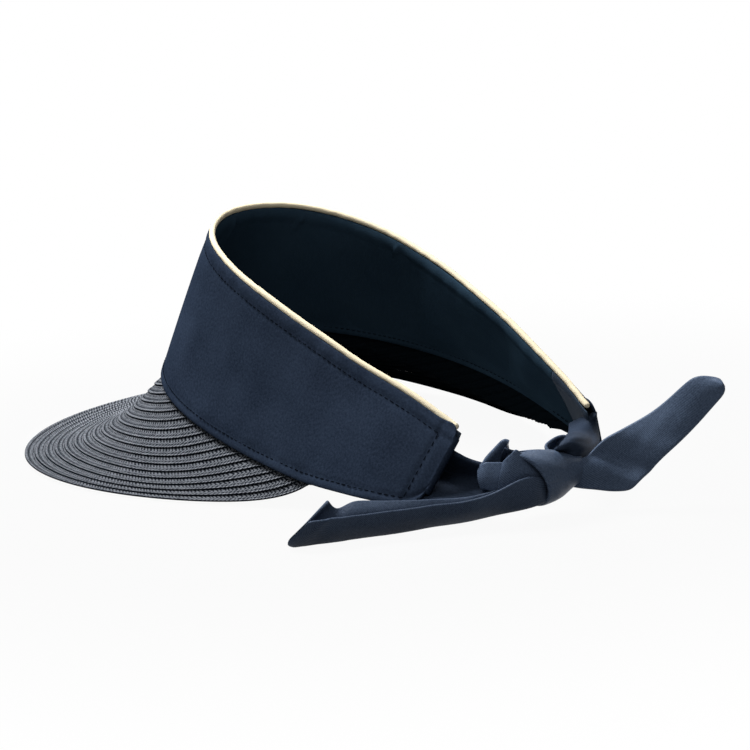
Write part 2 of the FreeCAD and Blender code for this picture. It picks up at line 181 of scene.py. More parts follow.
def cloth_section(width, thickness, across=14, roll=3):
    """Outline of a strip of cloth: places across it and heights over its back, with the
    two edges rolled over; first up the face, then down the back."""
    face = np.linspace(0.0, 1.0, across)
    angle = np.linspace(0.0, math.pi, roll + 2)[1:-1]
    edge = thickness / 2
    inner = edge + face * (width - 2 * edge)
    top = np.stack([inner, np.full(across, thickness)], 1)
    far = np.stack([width - edge + edge * np.sin(angle), edge + edge * np.cos(angle)], 1)
    bottom = np.stack([inner[::-1], np.zeros(across)], 1)
    near = np.stack([edge - edge * np.sin(angle), edge - edge * np.cos(angle)], 1)
    return np.concatenate([top, far, bottom, near])


def lower_edge(share):
    """Lower edge of the outer fabric, rounded up into each rear end."""
    left = (END_SHARE - share) * RIM_HALF_LENGTH
    inside = np.clip(END_CORNER ** 2 - (END_CORNER - left) ** 2, 0.0, None)
    rounded = wall_length(share) - END_CORNER + np.sqrt(inside)
    return np.where(left >= END_CORNER, wall_length(share), rounded)


def upper_edge(share):
    """Upper edge: along the piping, then up over it near the end and round the corner."""
    left = (END_SHARE - share) * RIM_HALF_LENGTH
    top = FABRIC_TOP - END_RISE * ease(1 - left / END_RISE_LENGTH)
    inside = np.clip(1 - (1 - left / UPPER_CORNER) ** 2, 0.0, None)
    return np.where(left >= UPPER_CORNER, top, top + UPPER_CORNER * (1 - np.sqrt(inside)))


def groove(distance, width):
    return np.exp(-((distance / width) ** 2))


def both_halves(half):
    return np.concatenate([-half[::-1], half[1:]])


def along_rim(s):
    return s * RIM_HALF_LENGTH


def outer_relief(s, down, length):
    """Slack of the twill: dips along its seams, small puckers there, and slow waves."""
    along = along_rim(s)
    from_end = RIM_HALF_LENGTH * (1.0 - np.abs(s))
    top = groove(down - TOP_STITCH_DOWN, 1.1 * mm)
    hem = groove(length - down - HEM_STITCH_UP, 1.1 * mm)
    end = groove(from_end - END_STITCH_IN, 1.1 * mm)
    pucker = 0.10 * np.sin(along / (1.9 * mm) + 2.0 * np.sin(along / (11 * mm)))
    pucker += 0.12 * np.sin(along / (4.3 * mm) + 1.3)
    nearby = groove(down - TOP_STITCH_DOWN + 2 * mm, 3.5 * mm)
    nearby = nearby + groove(length - down - HEM_STITCH_UP, 3.0 * mm)
    slow = 0.28 * np.sin(along / (23 * mm) + down / (31 * mm))
    slow = slow + 0.2 * np.sin(along / (13.7 * mm) - down / (19 * mm) + 1.0)
    quiet = np.clip(np.minimum(down - 2 * mm, length - down) / (12 * mm), 0.0, 1.0)
    swell = 0.2 * groove(length - down - HEM_STITCH_UP / 2, 1.1 * mm)
    swell = swell + 0.25 * groove(down - 4.0 * mm, 1.6 * mm)
    return (pucker * nearby + slow * quiet + swell - 0.3 * top - 0.34 * hem - 0.3 * end) * mm


corner_turn = np.sin(np.radians(np.linspace(0, 90, 12)))
outer_half = np.concatenate([
    np.linspace(0.0, END_SHARE - END_CORNER / RIM_HALF_LENGTH, 300),
    END_SHARE - END_CORNER * (1 - corner_turn[1:]) / RIM_HALF_LENGTH])


def cloth_thread(along, down):
    return np.stack([np.full(len(down), along), down, down * 0], 1)


def fabric_ring(s, turned):
    """One ring of the fabric and its thread; past the end of the band it is turned in by
    an angle, and then runs straight inwards between the two cloths."""
    top, bottom = float(upper_edge(abs(s))), float(lower_edge(abs(s)))
    outline = cloth_section(bottom - top, OUTER_THICKNESS, across=44)
    down = top + outline[:, 0]
    raised = outline[:, 1] / OUTER_THICKNESS
    radius = (0.1 + 0.8 * raised) * mm
    angle = min(turned, math.pi / 2)
    deeper = (turned - angle) * mm
    place = abs(s) + radius * math.sin(angle) / RIM_HALF_LENGTH
    depth = TURNED_DEPTH - radius * math.cos(angle) + deeper
    if not turned:
        depth = depth - outer_relief(s, down, bottom) * raised
    ring = on_wall(math.copysign(1, s) * place, down, depth)
    return ring, cloth_thread(along_rim(s) + turned * mm, down)


# Each end turns in towards the wearer and closes the gap between the two cloths.
end_turns = (3.4, 2.6, 1.57, 1.1, 0.7, 0.35)
fabric_rings = [fabric_ring(-END_SHARE, turned) for turned in end_turns]
fabric_rings += [fabric_ring(s, 0.0) for s in both_halves(outer_half)]
fabric_rings += [fabric_ring(END_SHARE, turned) for turned in end_turns[::-1]]
band_fabric = swept("band_fabric", np.array([ring for ring, thread in fabric_rings]),
                    np.array([thread for ring, thread in fabric_rings]))
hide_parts("band_outer")
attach(band_fabric, "visor")


def new_material(name):
    material = bpy.data.materials.new(name)
    material.use_nodes = True
    tree = material.node_tree
    return material, tree, tree.nodes["Principled BSDF"]


def linked(tree, kind, inputs, **settings):
    """Add a node: settings are its properties, inputs its sockets, linked or set."""
    node = tree.nodes.new(kind)
    for key, value in settings.items():
        setattr(node, key, value)
    for key, value in inputs.items():
        if isinstance(value, bpy.types.NodeSocket):
            tree.links.new(value, node.inputs[key])
        else:
            node.inputs[key].default_value = value
    return node


def two_tone(tree, level, dark, light, low=0.0, high=1.0):
    """Colour that goes from dark to light as a pattern's level goes from low to high."""
    ramp = linked(tree, "ShaderNodeValToRGB", {"Fac": level})
    first, last = ramp.color_ramp.elements
    first.position, first.color = low, (*dark, 1)
    last.position, last.color = high, (*light, 1)
    return ramp.outputs["Color"]


def dress(tree, shader, colour, height, relief, depth, rough, gloss):
    """Join up a cloth's colour, the relief of its weave, and how dull it is."""
    bump = linked(tree, "ShaderNodeBump", {"Height": height, "Strength": relief,
                  "Distance": depth})
    tree.links.new(colour, shader.inputs["Base Color"])
    tree.links.new(bump.outputs["Normal"], shader.inputs["Normal"])
    shader.inputs["Roughness"].default_value = rough
    shader.inputs["Specular IOR Level"].default_value = gloss


def twill_cloth(name, dark, light, rough, gloss, weave, rib=0.5 * mm, fuzz=0.35,
                grain=1900.0):
    """Woven cloth: diagonal twill ribs, uneven yarns, and soft blotches of colour."""
    material, tree, shader = new_material(name)
    place = linked(tree, "ShaderNodeAttribute", {}, attribute_name="thread")
    turned = linked(tree, "ShaderNodeMapping", {"Vector": place.outputs["Vector"],
                    "Rotation": (0, 0, math.radians(38))})
    ribs = linked(tree, "ShaderNodeTexWave", {"Vector": turned.outputs["Vector"],
                  "Scale": 0.314 / rib, "Distortion": 1.2, "Detail": 2.0,
                  "Detail Scale": 3.0}, wave_type="BANDS", bands_direction="X")
    yarn = linked(tree, "ShaderNodeTexNoise", {"Vector": turned.outputs["Vector"],
                  "Scale": grain, "Detail": 3.0, "Roughness": 0.7})
    blotch = linked(tree, "ShaderNodeTexNoise", {"Vector": place.outputs["Vector"],
                    "Scale": 42.0, "Detail": 4.0})
    speck = linked(tree, "ShaderNodeMix", {"Factor": 0.75, "A": ribs.outputs["Fac"],
                   "B": yarn.outputs["Fac"]}, data_type="FLOAT")
    shade = linked(tree, "ShaderNodeMix", {"Factor": 0.35, "A": speck.outputs[0],
                   "B": blotch.outputs["Fac"]}, data_type="FLOAT")
    colour = two_tone(tree, shade.outputs[0], dark, light, 0.30, 0.68)
    height = linked(tree, "ShaderNodeMix", {"Factor": fuzz, "A": ribs.outputs["Fac"],
                    "B": yarn.outputs["Fac"]}, data_type="FLOAT")
    dress(tree, shader, colour, height.outputs[0], weave, 0.1 * mm, rough, gloss)
    shader.inputs["Specular Tint"].default_value = (0.55, 0.7, 1.0, 1)
    return material


navy_twill = twill_cloth("navy twill", (0.008, 0.013, 0.024), (0.036, 0.052, 0.086),
                         rough=0.75, gloss=0.0, weave=1.0, rib=0.45 * mm, fuzz=0.8,
                         grain=950.0)
band_fabric.data.materials.append(navy_twill)

# ---- Top-stitching of the band --------------------------------------------------------
# Navy thread, about nine stitches to the inch: one row under the piping, one over the
# lower hem, and one inside each rear end that joins the two.

STITCH_PITCH = 2.9 * mm
STITCH_LENGTH = 2.1 * mm
THREAD_RADIUS = 0.17 * mm


def stitches(name, seams, length, radius):
    """One mesh of short threads that dive into the cloth at both ends, along seams that
    are each a line of places and the way out of the cloth there."""
    turns = np.linspace(0, 2 * math.pi, 7)[:-1]
    rings = (-0.5, -0.38, -0.15, 0.15, 0.38, 0.5)
    heights = (-0.8, 0.25, 0.75, 0.75, 0.25, -0.8)
    thick = (0.5, 0.95, 1.0, 1.0, 0.95, 0.5)
    verts, faces, places = [], [], []
    for line, normal in seams:
        ahead = np.gradient(line, axis=0)
        ahead /= np.linalg.norm(ahead, axis=1)[:, None]
        for centre, way, up in zip(line, ahead, normal):
            side = np.cross(up, way)
            base = len(verts)
            for r in range(6):
                middle = centre + way * rings[r] * length + up * heights[r] * radius
                for t in turns:
                    spread = side * math.cos(t) + up * math.sin(t)
                    verts.append(middle + spread * radius * thick[r])
                    places.append((rings[r] * length, t * radius, 0))
            for r in range(5):
                for k in range(6):
                    a, b = base + r * 6 + k, base + r * 6 + (k + 1) % 6
                    faces.append((a, b, b + 6, a + 6))
            faces.append(tuple(base + k for k in range(6))[::-1])
            faces.append(tuple(base + 30 + k for k in range(6)))
    return smooth_piece(name, verts, faces, places)


def run_along(line):
    """How far along a line of points each of them lies."""
    steps = np.linalg.norm(np.diff(line, axis=0), axis=1)
    return np.concatenate([[0.0], np.cumsum(steps)])


def wall_seam(s, down, depth, pitch):
    """Even stitch places along a line on the wall, and the way out of the wall there."""
    line = on_wall(s, down, depth)
    lift = on_wall(s, down, depth - 1 * mm) - line
    run = run_along(line)
    at = np.linspace(pitch / 2, run[-1] - pitch / 2, max(2, int(run[-1] / pitch)))
    places, normal = (np.stack([np.interp(at, run, v[:, k]) for k in range(3)], 1)
                      for v in (line, lift))
    return places, normal / np.linalg.norm(normal, axis=1)[:, None]


seam_end = 1.0 - END_STITCH_IN / RIM_HALF_LENGTH
seam_s = np.linspace(-seam_end, seam_end, 600)
seam_low = wall_length(np.abs(seam_s)) - HEM_STITCH_UP
seams = [wall_seam(seam_s, TOP_STITCH_DOWN, 0.12 * mm, STITCH_PITCH),
         wall_seam(seam_s, seam_low, 0.14 * mm, STITCH_PITCH)]
end_down = np.linspace(TOP_STITCH_DOWN, seam_low[0], 60)
for end in (-seam_end, seam_end):
    seams.append(wall_seam(end, end_down, 0.12 * mm, STITCH_PITCH))
band_stitching = stitches("band_stitching", seams, STITCH_LENGTH, THREAD_RADIUS)
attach(band_stitching, "visor")


def thread_material(name, colour):
    """Twisted sewing thread: fine slanting plies, matt."""
    material, tree, shader = new_material(name)
    place = linked(tree, "ShaderNodeAttribute", {}, attribute_name="thread")
    plies = linked(tree, "ShaderNodeTexWave", {"Vector": place.outputs["Vector"],
                   "Scale": 900.0}, wave_type="BANDS", bands_direction="DIAGONAL")
    twist = two_tone(tree, plies.outputs["Fac"], [c * 0.55 for c in colour], colour)
    dress(tree, shader, twist, plies.outputs["Fac"], 0.4, 0.05 * mm, 0.6, 0.0)
    return material


# Navy thread, coloured darker than the cloth as painted shade where the stitches sink in.
band_stitching.data.materials.append(thread_material("navy thread", (0.008, 0.012, 0.020)))

# ---- Interlining, cord and seam allowances --------------------------------------------
# Stiff felt between the two cloths, the cotton cord inside the piping and the turned-in
# edges under it: all closed in by the sewing.

PIPING_DEPTH = 1.2 * mm
PIPING_END_SUNK = 0.9 * mm
CORD_RADIUS = 0.8 * mm
INTERLINING_TOP, INTERLINING_SHORT = 3.0 * mm, 9 * mm     # short of the lower edge
INTERLINING_DEPTH, INTERLINING_THICKNESS = 1.1 * mm, 0.8 * mm
ALLOWANCE_TOP, ALLOWANCE_LOW = 1.6 * mm, 8.0 * mm
ALLOWANCE_DEPTH, ALLOWANCE_THICKNESS = 2.05 * mm, 0.7 * mm


def felt(name, colour):
    """Pressed fibres: matt, with short random streaks."""
    material, tree, shader = new_material(name)
    place = linked(tree, "ShaderNodeTexCoord", {})
    fibres = linked(tree, "ShaderNodeTexNoise", {"Vector": place.outputs["Object"],
                    "Scale": 900.0, "Detail": 6.0, "Distortion": 1.5})
    streaks = two_tone(tree, fibres.outputs["Fac"], [c * 0.6 for c in colour], colour)
    dress(tree, shader, streaks, fibres.outputs["Fac"], 0.6, 0.2 * mm, 0.95, 0.5)
    return material


def inner_strip(name, reach, top, bottom_of, depth, thickness):
    """Flat strip between the cloths, from top down to a lower edge."""
    rings, threads = [], []
    for s in np.linspace(-reach, reach, 260):
        outline = cloth_section(float(bottom_of(abs(s))) - top, thickness, across=12)
        down = top + outline[:, 0]
        rings.append(on_wall(s, down, depth + outline[:, 1]))
        threads.append(cloth_thread(along_rim(s), down))
    return swept(name, np.array(rings), np.array(threads))


def rim_tube(name, s, radius):
    """Round strand along the rim, with one radius for each place and turn; near the
    ends it runs inwards, behind the edge of the outer fabric."""
    sunk = PIPING_END_SUNK * ease((np.abs(s) - 0.90) / 0.10)
    centre = on_wall(s, 0.0, PIPING_DEPTH + sunk)
    ahead = np.gradient(centre, axis=0)
    ahead /= np.linalg.norm(ahead, axis=1)[:, None]
    proud = on_wall(s, 0.0, PIPING_DEPTH + sunk - 1 * mm) - centre
    side_way = proud - ahead * np.einsum("ij,ij->i", proud, ahead)[:, None]
    side_way /= np.linalg.norm(side_way, axis=1)[:, None]
    up_way = np.cross(ahead, side_way)
    turn = np.linspace(0, 2 * math.pi, radius.shape[1] + 1)[:-1]
    rings = (centre[:, None] + side_way[:, None] * (radius * np.cos(turn))[..., None]
             + up_way[:, None] * (radius * np.sin(turn))[..., None])
    around = np.broadcast_to(np.abs(turn - math.pi) * 1.3 * mm, radius.shape)
    thread = np.stack([np.broadcast_to(along_rim(s)[:, None], radius.shape), around,
                       radius * 0], -1)
    return swept(name, rings, thread)


interlining = inner_strip("interlining", 0.955, INTERLINING_TOP,
                          lambda share: wall_length(share) - INTERLINING_SHORT,
                          INTERLINING_DEPTH, INTERLINING_THICKNESS)
seam_allowance = inner_strip("seam_allowance", 0.97, ALLOWANCE_TOP,
                             lambda share: ALLOWANCE_LOW, ALLOWANCE_DEPTH,
                             ALLOWANCE_THICKNESS)
cord = rim_tube("cord", np.linspace(-0.99, 0.99, 400), np.full((400, 12), CORD_RADIUS))
grey_felt = felt("grey felt", (0.30, 0.31, 0.34))
cotton = felt("cotton cord", (0.75, 0.72, 0.65))
for piece, node, inside, slot in (
        (interlining, "band_interlining", grey_felt, "interlining_felt"),
        (cord, "piping_cord", cotton, "cotton_cord"),
        (seam_allowance, "piping_seam", cotton, "cotton_cord")):
    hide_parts(node)
    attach(piece, "visor")
    piece.data.materials.append(inside)

# ---- Lining of the band ---------------------------------------------------------------
# Thin dark satin on the inside, a little too long for the curve, so that it lies in
# soft upright wrinkles; its hem is turned up and sewn over the ends of the braid.

LINING_DEPTH = 3.43 * mm            # its back, from the outer face of the band
LINING_THICKNESS = 0.6 * mm
LINING_TOP = 0.75 * mm
HEM_FRONT = 3.7 * mm                # hem of the lining over the lower edge of the band
HEM_RISE = 12.0 * mm                # the extra height it has along the sides
HEM_STITCH = 2.8 * mm
FACING_SHARE = 0.13                 # share of each half that the end facing covers


def hem_height(share):
    return HEM_FRONT + HEM_RISE * np.sin(math.pi * share ** 1.5)


def lining_relief(s, down, length):
    """Wrinkles of the lining: upright folds that fade at rim and hem."""
    along = along_rim(s)
    rise = np.clip(down / (14 * mm), 0, 1) * np.clip((length - down) / (9 * mm), 0, 1)
    slant = along - 0.35 * down
    folds = 2.6 * np.sin(slant / (9.7 * mm) + 0.5 * np.sin(slant / (23 * mm)))
    folds = folds * (0.4 + 0.6 * np.sin(slant / (31 * mm) + 0.7) ** 2)
    folds += 0.3 * np.sin(along / (4.7 * mm) + down / (23 * mm) + 1.9)
    strip = 0.35 * groove(down - 4.0 * mm, 1.8 * mm)
    pucker = 0.12 * np.sin(along / (1.7 * mm) + np.sin(along / (9 * mm)))
    for tuck in (-74, -27, 9, 41, 88):
        pucker = pucker + 0.8 * groove(along - tuck * mm - 0.5 * down, 1.1 * mm)
    near_rim = groove(down - 5.5 * mm, 3.5 * mm)
    hem = 0.3 * groove(length - down - 1.2 * mm, 1.4 * mm)
    hem_line = 0.25 * groove(length - down - HEM_STITCH, 0.7 * mm)
    top_line = 0.25 * groove(down - TOP_STITCH_DOWN, 0.9 * mm)
    return (0.55 * folds * rise + strip + pucker * near_rim + hem - hem_line
            - top_line) * mm


def inner_cloth(name, places, bottom_of, across):
    """Cloth on the inside of the band; along the rim it closes up to the piping."""
    rings, threads = [], []
    for s in places:
        bottom = float(bottom_of(abs(s)))
        outline = cloth_section(bottom - LINING_TOP, LINING_THICKNESS, across=across)
        down = LINING_TOP + outline[:, 0]
        relief = lining_relief(s, down, bottom) * outline[:, 1] / LINING_THICKNESS
        close = 1.35 * mm * np.exp(-outline[:, 0] / (1.6 * mm))
        close = close * (1 - ease((abs(s) - 0.90) / 0.10))
        rings.append(on_wall(s, down, LINING_DEPTH + outline[:, 1] + relief - close))
        threads.append(cloth_thread(along_rim(s), down))
    return swept(name, np.array(rings), np.array(threads))


def lining_edge(share):
    return wall_length(share) - hem_height(share)


lining_last = 1.0 - FACING_SHARE
band_lining = inner_cloth("lining", np.linspace(-lining_last, lining_last, 560),
                          lining_edge, 36)
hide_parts("band_lining")
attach(band_lining, "visor")
lining_satin = twill_cloth("lining satin", (0.018, 0.037, 0.062), (0.036, 0.068, 0.102),
                           rough=0.65, gloss=0.0, weave=0.3, rib=0.5 * mm)
band_lining.data.materials.append(lining_satin)

hem_s = np.linspace(-lining_last + 0.005, lining_last - 0.005, 600)
hem_places, out_of_wall = wall_seam(hem_s, lining_edge(np.abs(hem_s)) - HEM_STITCH,
                                    LINING_DEPTH + LINING_THICKNESS - 0.1 * mm, 2.6 * mm)
lining_stitching = stitches("lining_stitching", [(hem_places, -out_of_wall)], 1.7 * mm,
                            0.14 * mm)
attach(lining_stitching, "visor")
# Dark thread, coloured darker than the lining as painted shade where the stitches sink in.
lining_stitching.data.materials.append(thread_material("lining thread",
                                                       (0.006, 0.010, 0.015)))

# ---- End facings ----------------------------------------------------------------------
# A panel of the tie satin on the inside of each rear end, sewn down over the end of the
# tie; it takes the light a little more than the lining.

FACING_REVEAL = 2.0 * mm            # facing's edge over the lower edge of the band
navy_facing = twill_cloth("facing satin", (0.030, 0.044, 0.066), (0.056, 0.078, 0.114),
                          rough=0.6, gloss=0.01, weave=0.3, rib=0.5 * mm)


def facing_edge(share):
    return lower_edge(share) - FACING_REVEAL


for side, name in ((1.0, "end_facing_left"), (-1.0, "end_facing_right")):
    places = side * np.linspace(1.0 - FACING_SHARE + 0.001, 1.0, 40)
    facing = inner_cloth(name + "_cloth", places, facing_edge, 22)
    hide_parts(name)
    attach(facing, "visor")
    facing.data.materials.append(navy_facing)

# ---- Piping ---------------------------------------------------------------------------
# Cream cotton cut on the bias and sewn tight round a cord along the rim; the cover
# twists a little and shows short slanting drag lines; its ends are turned in.

PIPING_RADIUS = 1.25 * mm
PIPING_END = 0.995                  # share of the half length where its end is closed
PIPING_ROUNDED = 1.3 * mm           # length over which the end is rounded off

piping_half = np.concatenate([np.linspace(0.0, 0.98, 330),
                              np.linspace(0.98, PIPING_END, 12)[1:]])
piping_s = both_halves(piping_half)
turn = np.linspace(0, 2 * math.pi, 21)[:-1]
at_rim = along_rim(piping_s)[:, None]
from_tip = np.clip((PIPING_END * RIM_HALF_LENGTH - np.abs(at_rim)) / PIPING_ROUNDED, 0, 1)
rounded = np.sqrt(np.clip(1 - (1 - from_tip) ** 2, 0.02, 1))
drag = 0.05 * np.sin(at_rim / (1.3 * mm) + 1.4 * turn) * np.sin(at_rim / (8.3 * mm)) ** 2
lumps = 0.05 * np.sin(at_rim / (6.1 * mm) + turn) + 0.04 * np.sin(at_rim / (14 * mm))
piping = rim_tube("piping", piping_s, PIPING_RADIUS * (0.97 + drag + lumps) * rounded)
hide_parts("piping_cover")
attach(piping, "visor")
cream_cotton = twill_cloth("cream cotton", (0.80, 0.68, 0.47), (0.93, 0.84, 0.62),
                           rough=0.8, gloss=0.1, weave=0.35, rib=0.45 * mm)
piping.data.materials.append(cream_cotton)

# ---- Peak of sewn straw braid ---------------------------------------------------------
# Navy-grey paper straw plaited flat, sewn round and round from the outer edge inwards:
# each row's raised edge lies on the inner margin of the row outside it.  The rows climb
# the steep part under the band and end inside it, under the lining's hem.

BRAID_DEPTH = 3.28 * mm             # inside the band, from its outer face
BRAID_ROWS = 21
BRAID_LAP = 1.3                     # braid width over row spacing
BRAID_LIFT = 0.68 * mm              # a row's outer edge over the row outside it
BRAID_TUCK = 1.0 * mm               # a row ends this far under the lining's hem
BRAID_END = 0.90                    # share of the half length where every row has ended
PEAK_LINES = 400                    # lines from the band to the edge, along each half
PEAK_REACH = 0.752                  # share of the half length where it meets the band
PEAK_LENGTH = 72.5 * mm             # centre front, in plan
PEAK_DROP = 40.1 * mm               # from the band's lower edge to the table
PEAK_NOSE = 0.15                    # share of each half that rounds it at centre front
PEAK_NOSE_LIFT = 1.2 * mm
PEAK_SWEEP = math.radians(40.3)     # how far the braid turns rearwards along the side
PEAK_DIP_FRONT, PEAK_DIP_SIDE = 2.55, 1.7
PEAK_SWELL = 4.9 * mm               # upward roundness half way along the side
PEAK_FOLD = 4.0 * mm                # the braid bends round under the band within this
PEAK_INNER_RISE = 70 * mm           # climb of the inner edge behind the peak

peak_share = np.linspace(0, PEAK_REACH, PEAK_LINES)
peak_start = on_wall(peak_share, wall_length(peak_share), BRAID_DEPTH)
eased = np.sqrt((peak_share / PEAK_REACH) ** 2 + PEAK_NOSE ** 2) - PEAK_NOSE
peak_along = eased / eased[-1]
peak_turn = np.interp(peak_share, rim_share, rim_heading) + PEAK_SWEEP * peak_along ** 2
peak_plan = PEAK_LENGTH * (1 - peak_along)
foot = float(on_wall(0.0, wall_length(0.0), 0.0)[2]) - PEAK_DROP
edge_height = (foot + PEAK_NOSE_LIFT * (1 - peak_along) ** 2
               + (peak_start[-1, 2] - foot) * peak_along ** 7.5)
fine = np.linspace(0, 1, 60)
dip_power = PEAK_DIP_FRONT + (PEAK_DIP_SIDE - PEAK_DIP_FRONT) * peak_along
dip = (1 - fine) ** dip_power[:, None]
swell = (4 * PEAK_SWELL * peak_along * (1 - peak_along))[:, None] * np.sin(math.pi * fine)
peak_lines = np.stack([
    peak_start[:, :1] + (np.sin(peak_turn) * peak_plan)[:, None] * fine,
    peak_start[:, 1:2] - (np.cos(peak_turn) * peak_plan)[:, None] * fine,
    edge_height[:, None] + (peak_start[:, 2] - edge_height)[:, None] * dip + swell], -1)
peak_steps = np.linalg.norm(np.diff(peak_lines, axis=1), axis=2)
peak_run = np.concatenate([np.zeros((PEAK_LINES, 1)), np.cumsum(peak_steps, 1)], 1)


def peak_reach(share):
    """Reach of the outer edge past the band's lower edge; negative inside the band."""
    inside = -PEAK_INNER_RISE * np.clip(share - PEAK_REACH, 0, None)
    return np.where(share < PEAK_REACH, np.interp(share, peak_share, peak_run[:, -1]), inside)


def sharp_peak(s, reach):
    """Underside of the braid, with a sharp fold under the band's lower edge."""
    share = abs(s)
    if share >= PEAK_REACH:
        return on_wall(s, wall_length(share) + reach, BRAID_DEPTH)
    inside = on_wall(s, wall_length(share) + np.minimum(reach, 0), BRAID_DEPTH)
    place = share / PEAK_REACH * (PEAK_LINES - 1)
    i = min(int(place), PEAK_LINES - 2)
    f = place - i
    line = peak_lines[i] * (1 - f) + peak_lines[i + 1] * f
    run = peak_run[i] * (1 - f) + peak_run[i + 1] * f
    outside = np.stack([np.interp(reach, run, line[:, k]) for k in range(3)], 1)
    past = np.clip(reach - run[-1], 0, None)[:, None]
    way = line[-1] - line[-2]
    outside = outside + past * way / max(np.linalg.norm(way), 1e-9)
    if s < 0:
        outside[:, 0] = 2 * seat[0] - outside[:, 0]
    outside[:, 2] += peak_warp(s, np.clip(reach / run[-1], 0, 1))
    return np.where((reach > 0)[:, None], outside, inside)


def peak_warp(s, out):
    """In wear the peak has warped: its front and its right rear corner stand higher, and
    its left side sags.  out goes from 0 at the band to 1 at the edge."""
    bulge = np.sin(math.pi * out)
    lift = 6.5 * groove(s + 0.16, 0.15) * out + 8.5 * groove(s + 0.10, 0.10) * bulge
    if s < 0:
        at = -s / PEAK_REACH
        lift = lift + (2.6 * groove(at - 0.93, 0.07) + 4.5 * groove(at - 0.80, 0.14)) * out
    else:
        along = np.interp(s, peak_share, peak_along)
        lift = lift - 4.5 * groove(along - 0.45, 0.25) * ease(s / 0.1) * bulge
    return lift * mm


def peak_points(s, reach):
    """Underside of the braid for one place along the band and many reaches."""
    window = np.clip(PEAK_FOLD - np.abs(reach), 0, None)
    return sum(sharp_peak(s, reach + window * i / 3.5) for i in range(-3, 4)) / 7


row_pitch = (float(peak_reach(0.0)) + HEM_FRONT) / (BRAID_ROWS - 0.4)
row_width = row_pitch * BRAID_LAP


def row_end(k):
    """Share of the half length where row k runs up under the lining's hem."""
    places = np.linspace(0, BRAID_END, 1801)
    climb = k * row_pitch - peak_reach(places)
    under = np.nonzero(climb >= hem_height(places) + BRAID_TUCK)[0]
    return places[under[0]] if len(under) else BRAID_END


PLAIT = 1.75 * mm                   # one repeat of the plait along a row
BRAID_FOLD = 2.9 * mm               # from its outer edge to where the straws change slant
# Places across a row, from its outer edge inwards over the face and back underneath.
face_across = np.concatenate([np.linspace(0.02, 0.30, 6), np.linspace(0.36, 0.80, 7),
                              [0.88, 0.98]])
back_across = np.linspace(0.98, 0.02, 13)
row_across = np.concatenate([[0.0], face_across, [1.0], back_across])
FACE_COUNT = len(face_across)


def plait_face(along, across):
    """Height of the plait: a rounded edge where the straws turn, a sunk line of sewing,
    then two sets of straws that slant against each other."""
    v = across * row_width
    turn_over = np.clip(1 - ((v - 0.62 * mm) / (0.72 * mm)) ** 2, 0, None) ** 0.6
    loops = 0.5 + 0.5 * np.sin(2 * math.pi * (along / PLAIT - v / (2.1 * mm)))
    edge = turn_over * (0.42 + 0.10 * loops)
    first = np.sin(2 * math.pi * (along / PLAIT + v / (2.4 * mm)))
    second = np.sin(2 * math.pi * (along / PLAIT - v / (2.4 * mm)) + 0.6)
    split = 1 / (1 + np.exp(-(v - BRAID_FOLD) / (0.12 * mm)))
    straws = first * (1 - split) + second * split
    body = 1 / (1 + np.exp(-(v - 1.75 * mm) / (0.16 * mm)))
    fade = np.clip((1 - across) / 0.14, 0, 1)
    middle = 0.10 * groove(v - BRAID_FOLD, 0.35 * mm)
    woven = body * fade * (0.16 + 0.12 * straws - middle)
    return (edge + woven) * mm


def plait_back(across):
    """Depth of the straws on the underside, in ribs along the row."""
    ribs = np.cos(2 * math.pi * across * row_width / (1.46 * mm))
    return (0.16 + 0.16 * ribs) * np.clip(across / 0.1, 0, 1) * mm


def row_lines(k):
    """Lines along row k on the underside of the braid, for every place across it; how far
    along it each of their points lies; and its place on the band, from -1 to 1."""
    end = row_end(k)
    coarse = np.linspace(-end, end, max(60, int(500 * end)))
    outer = peak_reach(np.abs(coarse)) - k * row_pitch
    patch = np.array([peak_points(s, o - row_across * row_width)
                      for s, o in zip(coarse, outer)])
    run = run_along(patch[:, FACE_COUNT // 2])
    along = np.linspace(0, run[-1], int(run[-1] / (PLAIT / 4)))
    place = np.interp(along, run, np.arange(len(coarse)))
    i = np.minimum(place.astype(int), len(coarse) - 2)
    f = (place - i)[:, None, None]
    return (patch[i] * (1 - f) + patch[i + 1] * f, along,
            np.interp(place, np.arange(len(coarse)), coarse))


def upright(lines):
    """The way straight up from the peak at each point of a row; the points under the row
    take it from the point of the face over them."""
    inwards = np.gradient(lines[:, 1:FACE_COUNT + 1], axis=1)
    inwards = np.concatenate([inwards[:, :1], inwards, inwards[:, -1:]], 1)
    over = [int(np.argmin(np.abs(face_across - b))) + 1 for b in back_across]
    inwards = np.concatenate([inwards, inwards[:, over]], 1)
    normal = np.cross(np.gradient(lines, axis=0), inwards)
    normal /= np.linalg.norm(normal, axis=2)[..., None]
    return normal if normal[len(lines) // 2, 3, 2] > 0 else -normal


